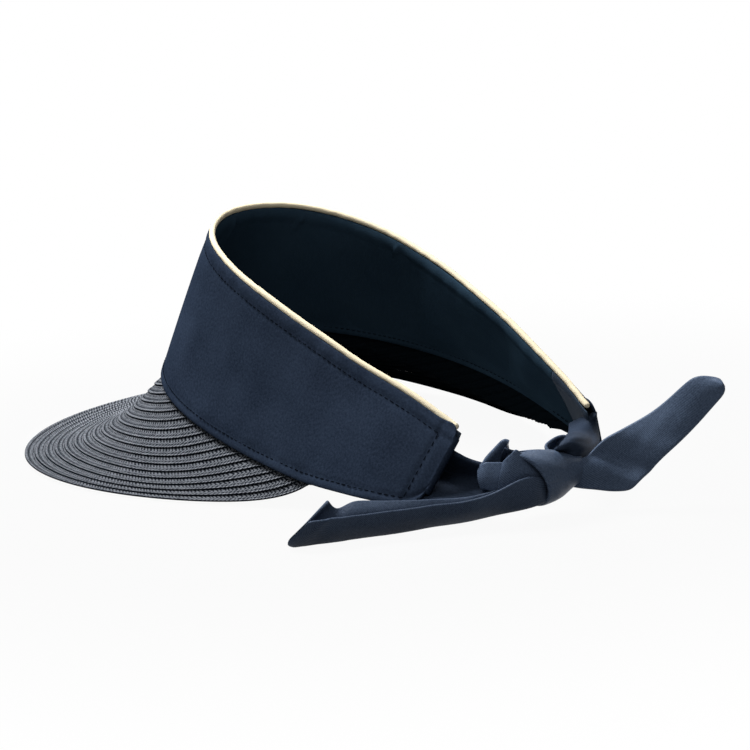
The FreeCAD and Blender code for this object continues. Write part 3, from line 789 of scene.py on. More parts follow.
def braid_row(k):
    """Row k of the peak, counted from its outer edge."""
    lines, along, s = row_lines(k)
    wobble = 0.06 * mm * np.sin(along / (17 * mm) + 1.7 * k)[:, None]
    base = BRAID_LIFT * (1 - row_across) + wobble
    uneven = 0.35 * np.sin(along / (9 * mm) + 2.1 * k) + 0.2 * np.sin(along / (3.1 * mm))
    straw = (along + (0.31 * k + uneven) * PLAIT)[:, None]
    # Pressed flatter where the peak turns steeply down at the front.
    pressed = 1 - 0.9 * groove(s, 0.22) * float(ease((k - 5) / 5))
    height = base + 0.32 * mm + plait_face(straw, row_across) * pressed[:, None]
    back = base + 0.10 * mm - plait_back(row_across)
    height[:, FACE_COUNT + 2:] = back[:, FACE_COUNT + 2:]
    edges = [0, FACE_COUNT + 1]
    height[:, edges] = base[:, edges] + 0.22 * mm
    rings = lines + upright(lines) * height[..., None]
    # Painted shade: how far each point lies inside the band, or on the braid's underside, goes
    # into the thread's third part and darkens the straw there.
    inside = np.clip((k * row_pitch - peak_reach(np.abs(s))) / (3 * mm) + 1, 0, 1)
    under = np.where(np.arange(len(row_across)) > FACE_COUNT, 0.92, 0.0)
    painted_shade = np.clip(inside[:, None] + under, 0, 1)
    thread = np.stack(np.broadcast_arrays(straw, row_across * row_width, painted_shade), -1)
    piece = swept("braid_row_%02d_plait" % (k + 1), rings, thread)
    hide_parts("braid_row_%02d" % (k + 1))
    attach(piece, "visor")
    return piece


def straw_material():
    """Paper straw: flat strips that slant against each other, a lighter rounded edge, a dark
    line where the sewing runs, and painted shade in the groove at each row's edge and
    under the next row.  The thread's third part is how far a place lies inside the band or
    under the peak, where painted shade darkens it."""
    material, tree, shader = new_material("navy straw")
    place = linked(tree, "ShaderNodeAttribute", {}, attribute_name="thread")
    parts = linked(tree, "ShaderNodeSeparateXYZ", {"Vector": place.outputs["Vector"]})
    across = linked(tree, "ShaderNodeMath", {0: parts.outputs["Y"], 1: 1 / (5.8 * mm)},
                    operation="MULTIPLY")
    tone = linked(tree, "ShaderNodeValToRGB", {"Fac": across.outputs[0]})
    # Levels across a row, from its outer edge: painted shade in the groove at the edge, the
    # lighter rounded edge, the sewing line, the slanting straws, and painted shade where the next
    # row lies over it.
    stops = ((0.02, 0.10), (0.07, 1.0), (0.19, 0.95), (0.235, 0.16), (0.285, 0.18),
             (0.32, 0.52), (0.48, 0.56), (0.50, 0.30), (0.52, 0.56), (0.70, 0.46), (0.80, 0.12))
    while len(tone.color_ramp.elements) < len(stops):
        tone.color_ramp.elements.new(0.5)
    for element, (position, level) in zip(tone.color_ramp.elements, stops):
        element.position = position
        element.color = (level, level, level, 1)
    fold = linked(tree, "ShaderNodeMath", {0: parts.outputs["Y"], 1: BRAID_FOLD},
                  operation="SUBTRACT")
    mirrored = linked(tree, "ShaderNodeMath", {0: fold.outputs[0]}, operation="ABSOLUTE")
    flat = linked(tree, "ShaderNodeCombineXYZ", {"X": parts.outputs["X"],
                  "Y": mirrored.outputs[0]})
    slanted = linked(tree, "ShaderNodeTexWave", {"Vector": flat.outputs["Vector"],
                     "Scale": 0.628 / PLAIT, "Distortion": 3.0, "Detail": 2.0,
                     "Detail Scale": 2.0}, wave_type="BANDS", bands_direction="DIAGONAL")
    fibres = linked(tree, "ShaderNodeTexNoise", {"Vector": flat.outputs["Vector"],
                    "Scale": 1500.0, "Detail": 3.0, "Roughness": 0.7})
    slow = linked(tree, "ShaderNodeTexNoise", {"Vector": flat.outputs["Vector"],
                  "Scale": 60.0, "Detail": 3.0})
    weave = linked(tree, "ShaderNodeMix", {"Factor": 0.35, "A": slanted.outputs["Fac"],
                   "B": fibres.outputs["Fac"]}, data_type="FLOAT")
    crisp = linked(tree, "ShaderNodeMapRange", {"Value": weave.outputs[0], "From Min": 0.25,
                   "From Max": 0.72, "To Min": 0.02, "To Max": 1.0})
    uneven = linked(tree, "ShaderNodeMix", {"Factor": 0.25, "A": crisp.outputs["Result"],
                    "B": slow.outputs["Fac"]}, data_type="FLOAT")
    level = linked(tree, "ShaderNodeMath", {0: uneven.outputs[0], 1: tone.outputs["Color"]},
                   operation="MULTIPLY")
    straw_colour_and_shade = two_tone(tree, level.outputs[0], (0.008, 0.011, 0.016), (0.235, 0.250, 0.280),
                    0.10, 0.62)
    # Painted shade: darker where the braid lies inside the band or on its underside.
    shade = linked(tree, "ShaderNodeMix", {"Factor": parts.outputs["Z"], "A": straw_colour_and_shade,
                   "B": (0.008, 0.013, 0.018, 1)}, data_type="RGBA")
    dress(tree, shader, shade.outputs["Result"], weave.outputs[0], 0.5, 0.12 * mm, 0.5, 0.0)
    return material


navy_straw = straw_material()
for k in range(BRAID_ROWS):
    braid_row(k).data.materials.append(navy_straw)

# ---- Straps ---------------------------------------------------------------------------
# Two bands of navy satin, each folded double and pressed, sewn in between the cloths of
# a rear end and coloured darker as painted shade; they draw together as they run into
# the knot.
# Places in the ties are in millimetres from the middle of the knot: across it, out at
# the back, and up.

STRAP_THICKNESS = 1.6 * mm
KNOT_TURN = math.radians(38.19)
knot_low, knot_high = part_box("knot_core")
knot = np.array((knot_low + knot_high) / 2)
knot_axes = np.array([(-math.cos(KNOT_TURN), math.sin(KNOT_TURN), 0),
                      (math.sin(KNOT_TURN), math.cos(KNOT_TURN), 0), (0, 0, 1)])


def smooth(points, count):
    """Places on a smooth curve through the first axis of an array of points."""
    points = np.asarray(points, float)
    n = len(points)
    bend = np.zeros_like(points)
    ties = 4 * np.eye(n - 2) + np.eye(n - 2, k=1) + np.eye(n - 2, k=-1)
    kink = 6 * (points[2:] - 2 * points[1:-1] + points[:-2])
    bend[1:-1] = np.linalg.solve(ties, kink.reshape(n - 2, -1)).reshape(kink.shape)
    at = np.linspace(0, n - 1, count)
    i = np.minimum(at.astype(int), n - 2)
    f = (at - i).reshape(-1, *[1] * (points.ndim - 1))
    g = 1 - f
    return g * points[i] + f * points[i + 1] + ((g ** 3 - g) * bend[i]
                                                + (f ** 3 - f) * bend[i + 1]) / 6


def satin_creases(along, across, seed):
    """Slow drag lines and fine slubs of satin that has been folded and pulled."""
    sway = np.sin(along / (13 * mm) + seed)
    drag = 0.13 * np.sin(along / (9.1 * mm) + across / (3.7 * mm) * sway + seed)
    drag = drag + 0.06 * np.sin(along / (4.9 * mm) - across / (2.3 * mm) + 2 * seed) * sway
    return drag * mm


def cloth_patch(name, places, thickness, lengths=160, widths=40, relief=None, tip=0.0,
                seed=0.0):
    """Soft strip of cloth through rows of places that each lie across it, rolled over at
    its two edges.  Its last end thins out to a pressed edge over a length of tip."""
    grid = smooth(places, lengths)
    grid = smooth(grid.swapaxes(0, 1), widths).swapaxes(0, 1)
    grid = knot + grid @ knot_axes * mm
    ahead = np.gradient(grid, axis=0)
    sideways = np.gradient(grid, axis=1)
    normal = np.cross(ahead, sideways)
    normal /= np.linalg.norm(normal, axis=2)[..., None]
    run = np.cumsum(np.linalg.norm(ahead, axis=2).mean(1))[:, None]
    over = np.cumsum(np.linalg.norm(sideways, axis=2), 1)
    over = over - over[:, :1]
    folds = satin_creases(run, over, seed) if relief is None else relief(run, over)
    half = np.full(len(run), thickness / 2)
    if tip:
        left = np.clip((run[-1, 0] - run[:, 0]) / tip, 0, 1)
        half = half * np.sqrt(np.clip(1 - (1 - left) ** 2, 0.06, 1))
    half = half[:, None, None]
    shift = normal * folds[..., None]
    front = grid + shift + normal * half
    back = grid + shift - normal * half
    rolled = []
    for column, sign in ((-1, 1.0), (0, -1.0)):
        out = sideways[:, column] * sign
        out /= np.linalg.norm(out, axis=1)[:, None]
        middle = grid[:, column] + shift[:, column]
        turns = [middle + half[:, 0] * (out * math.sin(t) + normal[:, column] * math.cos(t))
                 for t in (math.pi / 4, math.pi / 2, 3 * math.pi / 4)]
        rolled.append(np.stack(turns if sign > 0 else turns[::-1], 1))
    rings = np.concatenate([front, rolled[0], back[:, ::-1], rolled[1]], 1)
    spot = np.concatenate([over, over[:, -1:].repeat(3, 1) + thickness / 2, over[:, ::-1],
                           over[:, :1].repeat(3, 1) - thickness / 2], 1)
    thread = np.stack([np.broadcast_to(run, spot.shape), spot, spot * 0], -1)
    return swept(name, rings, thread)


def satin(name, dark, light, rough, gloss, weave=0.7):
    return twill_cloth(name, dark, light, rough, gloss, weave, fuzz=0.55, grain=1250.0)


navy_satin = satin("tie satin", (0.020, 0.032, 0.058), (0.112, 0.154, 0.234), 0.38, 0.12)
# A darker copy of the tie satin, as painted shade: for both straps and the inside of the fold of
# slack.
shaded_satin = satin("satin darkened as painted shade", (0.008, 0.014, 0.026), (0.038, 0.052, 0.082),
                   0.6, 0.03, weave=0.6)


def finish_tie(piece, cloth, node=None):
    if node:
        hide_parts(node)
    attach(piece, "visor")
    piece.data.materials.append(cloth)


left_strap_places = [
    [(-37.5, -14.0, 15.0), (-39.9, -14.0, 9.0), (-42.3, -12.0, 3.4), (-44.7, -8.0, -1.7),
     (-47.1, -3.0, -6.5)],
    [(-34.6, -8.0, 10.9), (-36.6, -14.0, 4.7), (-38.7, -13.0, 0.1), (-40.9, -6.0, -3.1),
     (-43.2, 2.0, -5.9)],
    [(-30.8, -4.0, 8.6), (-31.9, -12.0, 2.4), (-33.3, -12.0, -1.9), (-34.8, -3.0, -4.0),
     (-36.3, 5.0, -6.3)],
    [(-26.9, -2.5, 6.7), (-27.5, -9.0, 1.2), (-28.2, -8.0, -2.4), (-29.3, 1.0, -4.1),
     (-30.2, 6.5, -6.7)],
    [(-21.6, 1.0, 5.6), (-21.7, -3.0, 1.1), (-22.0, -2.0, -2.1), (-22.5, 3.0, -4.4),
     (-22.9, 7.0, -7.0)],
    [(-15.9, 3.0, 5.2), (-15.4, 0.0, 1.3), (-15.2, 0.5, -1.8), (-15.0, 4.0, -4.2),
     (-14.8, 7.0, -6.7)],
    [(-7.8, 3.0, 5.5), (-7.3, 1.5, 2.3), (-6.9, 1.5, -0.6), (-6.5, 3.0, -3.1), (-6.2, 5.0, -5.4)],
]
left_strap = cloth_patch("left_strap", left_strap_places, STRAP_THICKNESS, seed=1.0)
finish_tie(left_strap, shaded_satin, "strap_left")
right_strap_places = [
    [(23.7, -47.5, 12.2), (22.2, -50.0, 10.6), (20.0, -53.0, 8.9), (17.6, -57.0, 7.0),
     (15.1, -61.0, 5.0)],
    [(23.3, -44.4, 10.8), (21.7, -46.4, 9.7), (19.6, -48.2, 8.2), (17.1, -50.8, 6.1),
     (14.3, -53.8, 4.0)],
    [(23.6, -47.2, 6.5), (21.7, -43.7, 6.8), (19.2, -39.6, 7.2), (15.9, -34.4, 8.1),
     (12.5, -32.9, 7.5)],
    [(24.0, -44.2, 3.0), (22.1, -38.2, 4.3), (19.4, -29.6, 6.4), (14.9, -17.4, 10.2),
     (10.3, -15.4, 10.2)],
    [(23.5, -36.2, 2.7), (21.5, -29.2, 3.8), (18.5, -18.6, 6.8), (12.9, -6.4, 11.5),
     (8.2, -4.4, 10.8)],
    [(20.9, -25.4, 3.0), (19.0, -18.4, 4.3), (15.9, -8.7, 7.2), (10.9, -1.8, 10.7),
     (6.3, 0.2, 10.3)],
    [(17.6, -12.8, 3.2), (15.3, -8.8, 4.8), (12.6, -4.4, 6.9), (9.1, -3.6, 8.4), (5.2, -4.6, 8.0)],
    [(12.2, -6.0, 2.2), (10.3, -5.0, 3.7), (8.1, -4.5, 4.5), (5.6, -5.0, 5.1), (3.5, -7.0, 5.1)],
]
right_strap = cloth_patch("right_strap", right_strap_places, STRAP_THICKNESS, seed=2.3)
finish_tie(right_strap, shaded_satin, "strap_right")

# ---- Knot -----------------------------------------------------------------------------
# The two straps cross and one of them turns round the other: a smooth broad turn on the
# outside, the crossed folds inside it, and a loop of slack that stands out on the left.

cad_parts["knot_core"].data.materials.clear()
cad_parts["knot_core"].data.materials.append(navy_satin)

# The fold of slack that stands out over the left strap.
ear_places = [
    [(-23.2, 2.5, 5.1), (-23.7, 3.5, 2.8), (-23.5, 4.5, -0.4), (-22.6, 5.0, -3.0)],
    [(-20.5, 2.0, 7.7), (-20.2, 1.5, 4.7), (-19.7, 2.0, 0.7), (-19.2, 3.5, -2.8)],
    [(-17.8, 1.5, 10.2), (-17.1, 0.0, 6.8), (-16.2, 0.5, 2.8), (-15.4, 2.5, -1.7)],
    [(-15.5, 1.2, 12.4), (-14.6, -1.0, 8.3), (-13.5, -1.0, 3.8), (-12.4, 1.5, -1.4)],
    [(-13.7, 1.0, 13.7), (-13.0, -2.5, 9.4), (-12.0, -2.5, 4.1), (-10.5, 0.0, -1.1)],
    [(-12.4, 1.2, 13.4), (-12.1, -3.0, 9.6), (-11.2, -3.5, 4.2), (-8.9, -1.0, -0.7)],
]
# Two folds between the left strap and the turn, the upper one over the lower one.
upper_pleat_places = [
    [(-14.9, 7.0, 7.0), (-15.6, 8.2, 4.6), (-16.6, 8.8, 1.4), (-17.5, 9.0, -2.6)],
    [(-13.3, 8.0, 8.9), (-13.4, 9.0, 5.7), (-14.0, 9.5, 2.1), (-14.6, 9.4, -2.0)],
    [(-11.6, 8.6, 10.5), (-11.4, 9.6, 6.9), (-11.4, 10.0, 3.1), (-11.6, 9.8, -1.1)],
    [(-9.8, 8.8, 11.8), (-9.0, 9.8, 7.9), (-8.7, 10.2, 3.9), (-8.5, 9.9, -0.3)],
    [(-7.4, 8.6, 9.6), (-6.7, 9.6, 6.4), (-6.1, 9.9, 3.3), (-5.5, 9.6, 0.2)],
    [(-4.6, 8.2, 6.4), (-4.0, 9.0, 4.3), (-3.4, 9.2, 2.2), (-2.8, 9.0, 0.4)],
    [(-2.2, 7.8, 3.3), (-1.7, 8.2, 2.3), (-1.4, 8.3, 1.3), (-1.1, 8.2, 0.3)],
]
lower_pleat_places = [
    [(-23.8, 3.2, 3.8), (-24.0, 4.6, 2.3), (-23.8, 5.6, 0.3), (-23.3, 6.0, -1.9)],
    [(-21.7, 4.2, 6.4), (-21.8, 5.8, 4.0), (-21.6, 7.0, 1.2), (-21.0, 7.3, -2.1)],
    [(-19.2, 4.6, 6.7), (-19.2, 6.3, 3.9), (-19.2, 7.5, 0.8), (-19.1, 7.8, -2.7)],
    [(-16.6, 4.8, 6.6), (-16.9, 6.5, 3.8), (-17.1, 7.7, 0.8), (-17.1, 8.0, -2.9)],
    [(-14.5, 4.8, 6.5), (-14.7, 6.5, 3.7), (-15.1, 7.6, 0.6), (-15.2, 7.9, -2.9)],
]
# The right strap's edge, rolled over where it goes in behind the turn.
roll_places = [
    [(11.1, -16.0, 10.3), (9.7, -14.0, 8.9), (8.4, -12.0, 6.7), (7.5, -11.0, 4.0)],
    [(7.6, -14.0, 11.0), (6.5, -15.5, 9.1), (5.6, -15.0, 6.2), (4.9, -12.0, 3.9)],
    [(4.0, -11.0, 10.1), (3.7, -13.0, 7.9), (3.4, -12.5, 5.8), (3.3, -10.0, 4.1)],
    [(2.1, -8.5, 8.9), (2.3, -9.0, 7.6), (2.2, -9.0, 6.1), (2.4, -8.0, 4.2)],
    [(2.8, -5.5, 7.6), (3.1, -5.0, 7.2), (3.4, -4.5, 6.1), (4.0, -4.0, 4.7)],
]
# The inside of the fold of slack, coloured dark as painted shade in the hollow.
inner_fold_places = [
    [(-13.7, 7.0, 12.8), (-11.1, 7.5, 11.8), (-7.8, 7.0, 10.9), (-4.8, 5.5, 10.1)],
    [(-14.4, 3.5, 10.3), (-11.2, 4.0, 9.5), (-7.7, 4.0, 8.5), (-4.8, 3.5, 7.9)],
    [(-15.1, 1.0, 7.5), (-11.5, 1.5, 6.9), (-7.9, 2.0, 6.0), (-4.8, 2.0, 5.3)],
    [(-15.7, -0.5, 4.8), (-11.9, 0.0, 4.1), (-8.2, 1.0, 3.3), (-4.9, 1.5, 2.7)],
]
slack_loop = cloth_patch("slack_loop", ear_places, 2.1 * mm, lengths=90, seed=0.7)
upper_pleat = cloth_patch("upper_pleat", upper_pleat_places, 1.2 * mm, lengths=90, seed=1.9)
lower_pleat = cloth_patch("lower_pleat", lower_pleat_places, 1.2 * mm, lengths=70, seed=0.3)
side_roll = cloth_patch("side_roll", roll_places, 1.3 * mm, lengths=80, seed=2.7)
inner_fold = cloth_patch("inner_fold", inner_fold_places, 0.8 * mm, lengths=50, seed=1.2)
finish_tie(slack_loop, navy_satin, "knot_loop")
for piece in (upper_pleat, lower_pleat, side_roll):
    finish_tie(piece, navy_satin)
finish_tie(inner_fold, shaded_satin)

# The turn, ring by ring along the knot, in millimetres: place along it, half depth, half
# height, shift out, shift up.
turn_rings = np.array([
    (4.0, 7.0, 8.0, 0.2, 0.0), (8.0, 7.6, 8.8, 0.2, 0.2), (9.5, 8.6, 9.8, 0.2, 0.2),
    (9.3, 9.7, 10.6, 0.2, 0.2), (7.8, 9.9, 10.9, 0.2, 0.2), (4.0, 9.8, 10.7, 0.2, 0.2),
    (0.0, 9.4, 10.2, 0.3, 0.2), (-4.0, 8.8, 9.3, 0.6, 0.1), (-8.0, 7.6, 7.8, 1.0, 0.2),
    (-11.5, 6.2, 6.4, 1.6, 0.4), (-14.5, 4.6, 5.4, 2.2, 0.5), (-16.0, 3.4, 4.8, 2.4, 0.5)])
x, deep, tall, behind, up = np.split(smooth(turn_rings, 90), 5, axis=1)
around = np.linspace(0, 2 * math.pi, 97)[:-1]
lean = np.sin(around) * np.clip((x + 14) / 22, 0, 1)
front = np.clip(np.cos(around), 0, None)
shift = 4.4 * lean - 2.6 * front * np.clip((x + 4) / 12, 0, 1)
folds = 0.22 * np.sin(2.2 * around + x / 4.1 + 0.4) + 0.14 * np.sin(5.1 * around - x / 2.6)
folds = folds * np.clip((9 - x) / 6, 0, 1)
turn_world = np.stack([x + shift, behind + (deep + folds) * np.cos(around),
                       up + (tall + folds) * np.sin(around)], -1) * mm + knot
turn_thread = np.stack(np.broadcast_arrays(x, around * 9, shift * 0), -1) * mm
knot_turn = swept("knot_turn", turn_world, turn_thread)
finish_tie(knot_turn, navy_satin, "knot_wrap")

# ---- Loose tails ----------------------------------------------------------------------
# The ends left over from the knot, of satin cut aslant.  The left one is folded
# lengthwise and sinks to the table; the right one is stiff enough to stand up in the
# air.  Each bends where it leaves the knot.

left_tail_places = [
    [(1.3, 5.5, -0.4), (1.2, 5.5, -3.1), (1.0, 5.6, -5.8), (0.9, 6.0, -7.8), (1.0, 6.5, -5.7),
     (1.1, 6.6, -3.2), (1.2, 6.5, -1.0)],
    [(-3.1, 7.4, 2.0), (-3.7, 7.3, -2.0), (-4.3, 7.4, -6.0), (-4.9, 8.6, -8.9), (-4.7, 11.1, -5.1),
     (-4.4, 12.3, -1.2), (-4.1, 12.1, 2.1)],
    [(-10.2, 8.3, 0.1), (-11.3, 8.2, -3.6), (-12.5, 7.9, -7.7), (-13.4, 8.7, -10.3),
     (-12.8, 12.0, -6.5), (-12.0, 13.8, -2.6), (-11.2, 14.0, 1.1)],
    [(-17.7, 8.7, -2.7), (-18.6, 9.0, -5.7), (-19.6, 8.2, -9.2), (-20.4, 8.3, -11.6),
     (-20.0, 11.9, -8.4), (-19.5, 14.2, -5.0), (-19.0, 14.9, -2.3)],
    [(-29.1, 8.6, -4.9), (-29.7, 9.8, -7.5), (-30.3, 9.3, -10.7), (-30.7, 9.3, -13.0),
     (-30.5, 12.9, -10.1), (-30.3, 15.1, -7.1), (-30.1, 15.9, -4.6)],
    [(-40.0, 9.7, -4.7), (-40.6, 11.5, -7.5), (-41.3, 11.2, -11.1), (-41.7, 11.2, -13.6),
     (-41.5, 14.8, -10.7), (-41.3, 17.0, -7.5), (-41.0, 17.8, -4.9)],
    [(-48.4, 11.0, -4.4), (-48.9, 13.4, -7.3), (-49.4, 13.3, -11.1), (-49.8, 13.3, -14.1),
     (-49.6, 16.9, -10.9), (-49.3, 19.1, -7.7), (-49.0, 19.9, -5.1)],
    [(-62.3, 12.5, -3.5), (-62.6, 16.0, -6.8), (-63.0, 16.3, -11.3), (-63.3, 16.4, -14.6),
     (-63.0, 20.0, -11.4), (-62.8, 22.3, -8.1), (-62.5, 23.0, -5.3)],
    [(-70.6, 14.1, -3.1), (-71.1, 18.4, -6.7), (-71.6, 18.9, -11.3), (-72.0, 19.0, -15.0),
     (-71.8, 22.6, -11.6), (-71.5, 24.9, -8.2), (-71.2, 25.6, -5.3)],
    [(-76.2, 17.9, -4.0), (-77.7, 21.4, -7.4), (-79.4, 21.7, -11.8), (-80.7, 21.6, -15.1),
     (-79.7, 25.1, -11.7), (-78.5, 27.3, -8.1), (-77.3, 28.1, -5.0)],
    [(-79.0, 20.4, -0.9), (-82.8, 24.0, -5.4), (-86.5, 24.1, -11.0), (-89.2, 23.9, -15.3),
     (-87.2, 27.2, -11.8), (-84.7, 29.3, -8.1), (-82.0, 30.2, -4.9)],
    [(-79.0, 23.5, 0.0), (-85.5, 26.7, -4.6), (-91.8, 27.1, -10.1), (-94.1, 27.3, -13.2),
     (-93.7, 29.6, -11.2), (-90.2, 31.2, -7.9), (-86.3, 32.0, -4.8)],
]
left_tail = cloth_patch("left_tail", left_tail_places, 1.3 * mm, lengths=260, widths=70,
                        tip=1.5 * mm, seed=0.4)
# It lies flat where it meets the table.
for vertex in left_tail.data.vertices:
    vertex.co.z = max(vertex.co.z, 0.1 * mm)
right_tail_places = [
    [(11.1, -6.0, 3.4), (10.8, -5.6, 2.2), (10.5, -5.3, 0.7), (10.1, -5.1, -0.7),
     (9.8, -5.2, -2.1), (9.5, -5.5, -3.7), (9.3, -6.0, -5.2)],
    [(14.4, -5.5, 3.7), (13.9, -5.1, 2.3), (13.4, -4.7, 0.8), (12.8, -4.5, -0.7),
     (12.3, -4.4, -2.2), (11.9, -4.6, -3.9), (11.4, -5.0, -5.5)],
    [(17.1, -6.0, 4.8), (16.7, -5.3, 3.2), (16.3, -4.7, 1.3), (15.8, -4.5, -0.5),
     (15.4, -4.3, -2.3), (15.0, -4.3, -4.2), (14.7, -4.5, -6.1)],
    [(20.7, -7.5, 7.6), (20.4, -6.6, 5.5), (20.1, -5.4, 3.2), (20.0, -5.0, 0.6),
     (19.8, -4.9, -1.9), (19.6, -4.6, -4.4), (19.5, -4.5, -6.8)],
    [(23.6, -8.5, 9.7), (23.6, -7.7, 7.0), (23.5, -6.2, 4.3), (23.5, -5.1, 1.5),
     (23.6, -5.1, -1.6), (23.6, -4.8, -4.7), (23.7, -4.5, -7.5)],
    [(26.5, -9.0, 11.1), (26.7, -8.2, 8.1), (26.9, -7.0, 5.0), (27.0, -5.4, 2.0),
     (27.3, -4.6, -1.2), (27.6, -4.3, -4.6), (27.9, -4.0, -7.7)],
    [(31.0, -9.5, 13.0), (31.2, -8.3, 9.8), (31.5, -7.2, 6.4), (31.7, -5.7, 3.2),
     (31.7, -4.6, -0.1), (32.0, -3.7, -3.6), (32.2, -3.0, -6.9)],
    [(35.9, -9.5, 15.5), (35.9, -7.9, 12.6), (35.9, -6.9, 9.3), (36.0, -5.7, 6.0),
     (36.1, -4.3, 2.7), (36.0, -3.2, -0.5), (36.0, -2.5, -3.6)],
    [(41.6, -9.0, 18.8), (41.7, -7.4, 16.4), (41.9, -5.9, 13.8), (42.1, -4.8, 11.1),
     (42.3, -4.0, 8.4), (42.6, -2.9, 5.6), (42.8, -2.0, 3.1)],
    [(47.5, -8.0, 23.3), (48.0, -6.5, 21.4), (48.6, -5.0, 19.4), (49.2, -3.8, 17.2),
     (49.8, -2.8, 15.1), (50.5, -2.1, 12.9), (51.1, -1.5, 10.7)],
    [(53.4, -6.5, 28.6), (54.1, -5.1, 26.9), (54.8, -3.9, 25.1), (55.5, -2.8, 23.2),
     (56.3, -2.0, 21.3), (57.1, -1.4, 19.4), (57.9, -1.0, 17.5)],
    [(57.4, -5.0, 31.7), (58.0, -3.8, 30.2), (58.7, -2.7, 28.6), (59.4, -1.8, 27.0),
     (60.1, -1.2, 25.3), (60.9, -0.8, 23.5), (61.7, -0.5, 21.7)],
    [(61.0, -4.0, 32.3), (61.5, -2.9, 31.3), (62.1, -1.8, 30.2), (62.7, -1.0, 29.0),
     (63.4, -0.5, 27.7), (64.1, -0.2, 26.4), (64.8, 0.0, 25.2)],
    [(63.8, -3.0, 32.0), (64.1, -2.0, 31.4), (64.6, -1.0, 30.8), (65.0, -0.3, 29.9),
     (65.5, 0.2, 29.2), (66.1, 0.4, 28.4), (66.6, 0.5, 27.5)],
    [(65.8, -2.2, 31.6), (66.0, -1.2, 31.3), (66.2, -0.3, 31.0), (66.4, 0.4, 30.6),
     (66.7, 0.8, 30.1), (67.0, 0.9, 29.6), (67.3, 1.0, 29.1)],
    [(67.0, -1.8, 30.7), (67.0, -0.9, 30.7), (67.0, -0.0, 30.6), (67.1, 0.6, 30.5),
     (67.2, 0.9, 30.3), (67.3, 1.0, 30.1), (67.4, 1.0, 29.8)],
]


def tail_valley(along, across):
    """A soft slanting fold near the root of the right tail, where it was pulled tight."""
    slant = along - 1.3 * across
    valley = 1.5 * groove(slant - 7.0 * mm, 3.6 * mm) - 1.1 * groove(slant + 1.0 * mm, 4.0 * mm)
    last = 0.7 * groove(slant - 20 * mm, 6.0 * mm)
    return (valley - last) * ease(along / (5 * mm)) * mm + satin_creases(along, across, 3.1)


right_tail = cloth_patch("right_tail", right_tail_places, 1.8 * mm, lengths=220,
                         relief=tail_valley, tip=2.5 * mm)
# The left tail takes a darker copy of the tie satin: painted shade.
shaded_tie_satin = satin("tie satin, darker as painted shade", (0.013, 0.021, 0.038),
                     (0.072, 0.098, 0.150), 0.45, 0.07)
for piece, node, body, width, length, held, cloth in (
        (left_tail, "tail_left", "left_tail", 0.028, 0.096, "folded", shaded_tie_satin),
        (right_tail, "tail_right", "right_tail", 0.020, 0.074, "stretched", navy_satin)):
    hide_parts(node)
    piece.data.materials.append(cloth)
    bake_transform(piece)

# ---- Floor, light and camera ----------------------------------------------------------
# A plain white table top under one broad soft lamp over the front and a weaker one over
# the back.  The camera stands behind the wearer's left side, a little over the table.

TABLE_DOWN = 0.2 * mm
bpy.ops.mesh.primitive_plane_add(size=8.0, location=(0, 0, -TABLE_DOWN))
table = bpy.context.object
table.name = "table_top"
white, tree, shader = new_material("white table")
shader.inputs["Base Color"].default_value = (0.20, 0.20, 0.20, 1)
shader.inputs["Roughness"].default_value = 0.9
shader.inputs["Specular IOR Level"].default_value = 0.1


def plain_sight(tree):
    """1 for rays from the camera, mirror-like rays and rays through clear things."""
    ray = linked(tree, "ShaderNodeLightPath", {})
    seen = linked(tree, "ShaderNodeMath", {0: ray.outputs["Is Camera Ray"],
                  1: ray.outputs["Is Glossy Ray"]}, operation="MAXIMUM")
    return linked(tree, "ShaderNodeMath", {0: seen.outputs[0],
                  1: ray.outputs["Is Transmission Ray"]}, operation="MAXIMUM").outputs[0]


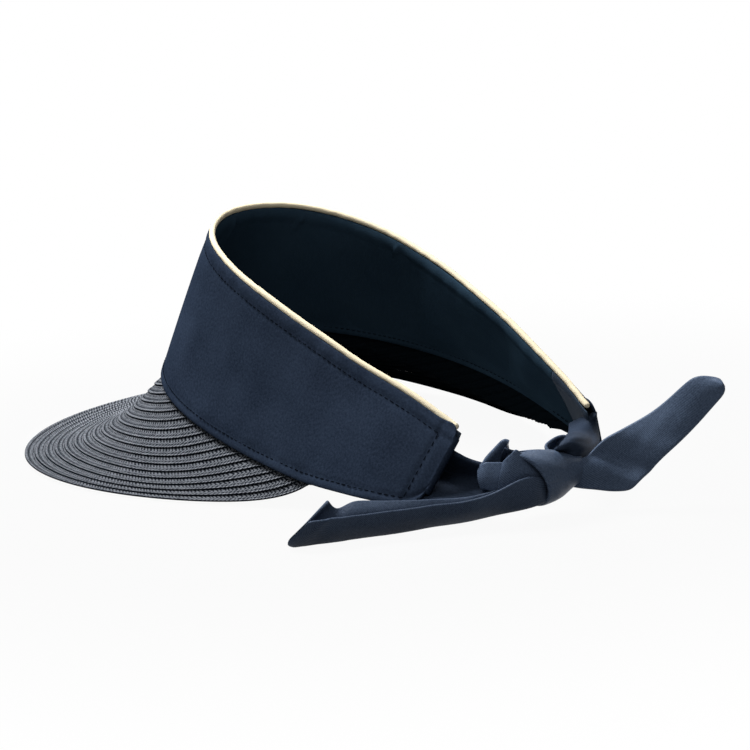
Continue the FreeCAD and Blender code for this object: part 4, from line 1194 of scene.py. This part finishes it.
# To the eye the table is nearly white by itself, and wholly white further away.
shine = linked(tree, "ShaderNodeEmission", {"Color": (1, 1, 1, 1), "Strength": 1.0})
spot = linked(tree, "ShaderNodeTexCoord", {})
far_off = linked(tree, "ShaderNodeVectorMath", {0: spot.outputs["Object"]},
                 operation="LENGTH")
paper = linked(tree, "ShaderNodeMapRange", {"Value": far_off.outputs["Value"],
               "From Min": 0.16, "From Max": 0.40, "To Min": 0.94, "To Max": 1.0},
               interpolation_type="SMOOTHSTEP")
share = linked(tree, "ShaderNodeMath", {0: paper.outputs["Result"],
               1: plain_sight(tree)}, operation="MULTIPLY")
both = linked(tree, "ShaderNodeMixShader", {0: share.outputs[0], 1: shader.outputs["BSDF"],
              2: shine.outputs[0]})
tree.links.new(both.outputs[0], tree.nodes["Material Output"].inputs["Surface"])
table.data.materials.append(white)


def soft_light(name, place, aim, size, watts):
    lamp = bpy.data.lights.new(name, "AREA")
    lamp.shape = "DISK"
    lamp.size = size
    lamp.energy = watts
    piece = bpy.data.objects.new(name, lamp)
    piece.location = place
    piece.rotation_euler = (Vector(aim) - Vector(place)).to_track_quat("-Z", "Y").to_euler()
    bpy.context.scene.collection.objects.link(piece)


soft_light("overhead", (0.1, -0.65, 1.25), (0, 0, 0), 0.7, 38.0)
soft_light("front_fill", (0.9, 0.9, 1.5), (0, 0, 0.03), 1.2, 7.0)
world = bpy.data.worlds.new("studio")
bpy.context.scene.world = world
world.use_nodes = True
tree = world.node_tree
air = tree.nodes["Background"]
air.inputs["Color"].default_value = (1, 1, 1, 1)
level = linked(tree, "ShaderNodeMapRange", {"Value": plain_sight(tree), "To Min": 0.09,
               "To Max": 1.0})
tree.links.new(level.outputs["Result"], air.inputs["Strength"])

AZIMUTH, ELEVATION, ROLL = (math.radians(d) for d in (141.81, 11.50, -3.21))
DISTANCE = 1.129
LENS, FILM_WIDTH = 138.1, 36.0
back = Vector((math.sin(AZIMUTH) * math.cos(ELEVATION),
               -math.cos(AZIMUTH) * math.cos(ELEVATION), math.sin(ELEVATION)))
aim = Vector(seat) + Vector((10.1, 0.6, -32.7)) * mm
right = Vector((0, 0, 1)).cross(back).normalized()
up = back.cross(right)
turn = Matrix.Rotation(ROLL, 4, back)
camera_data = bpy.data.cameras.new("camera")
camera_data.lens = LENS
camera_data.sensor_width = FILM_WIDTH
camera = bpy.data.objects.new("camera", camera_data)
frame_way = Matrix((right, up, back)).transposed().to_4x4()
camera.matrix_world = Matrix.Translation(aim + back * DISTANCE) @ turn @ frame_way
bpy.context.scene.collection.objects.link(camera)
bpy.context.scene.camera = camera
bpy.context.scene.view_settings.view_transform = "Standard"
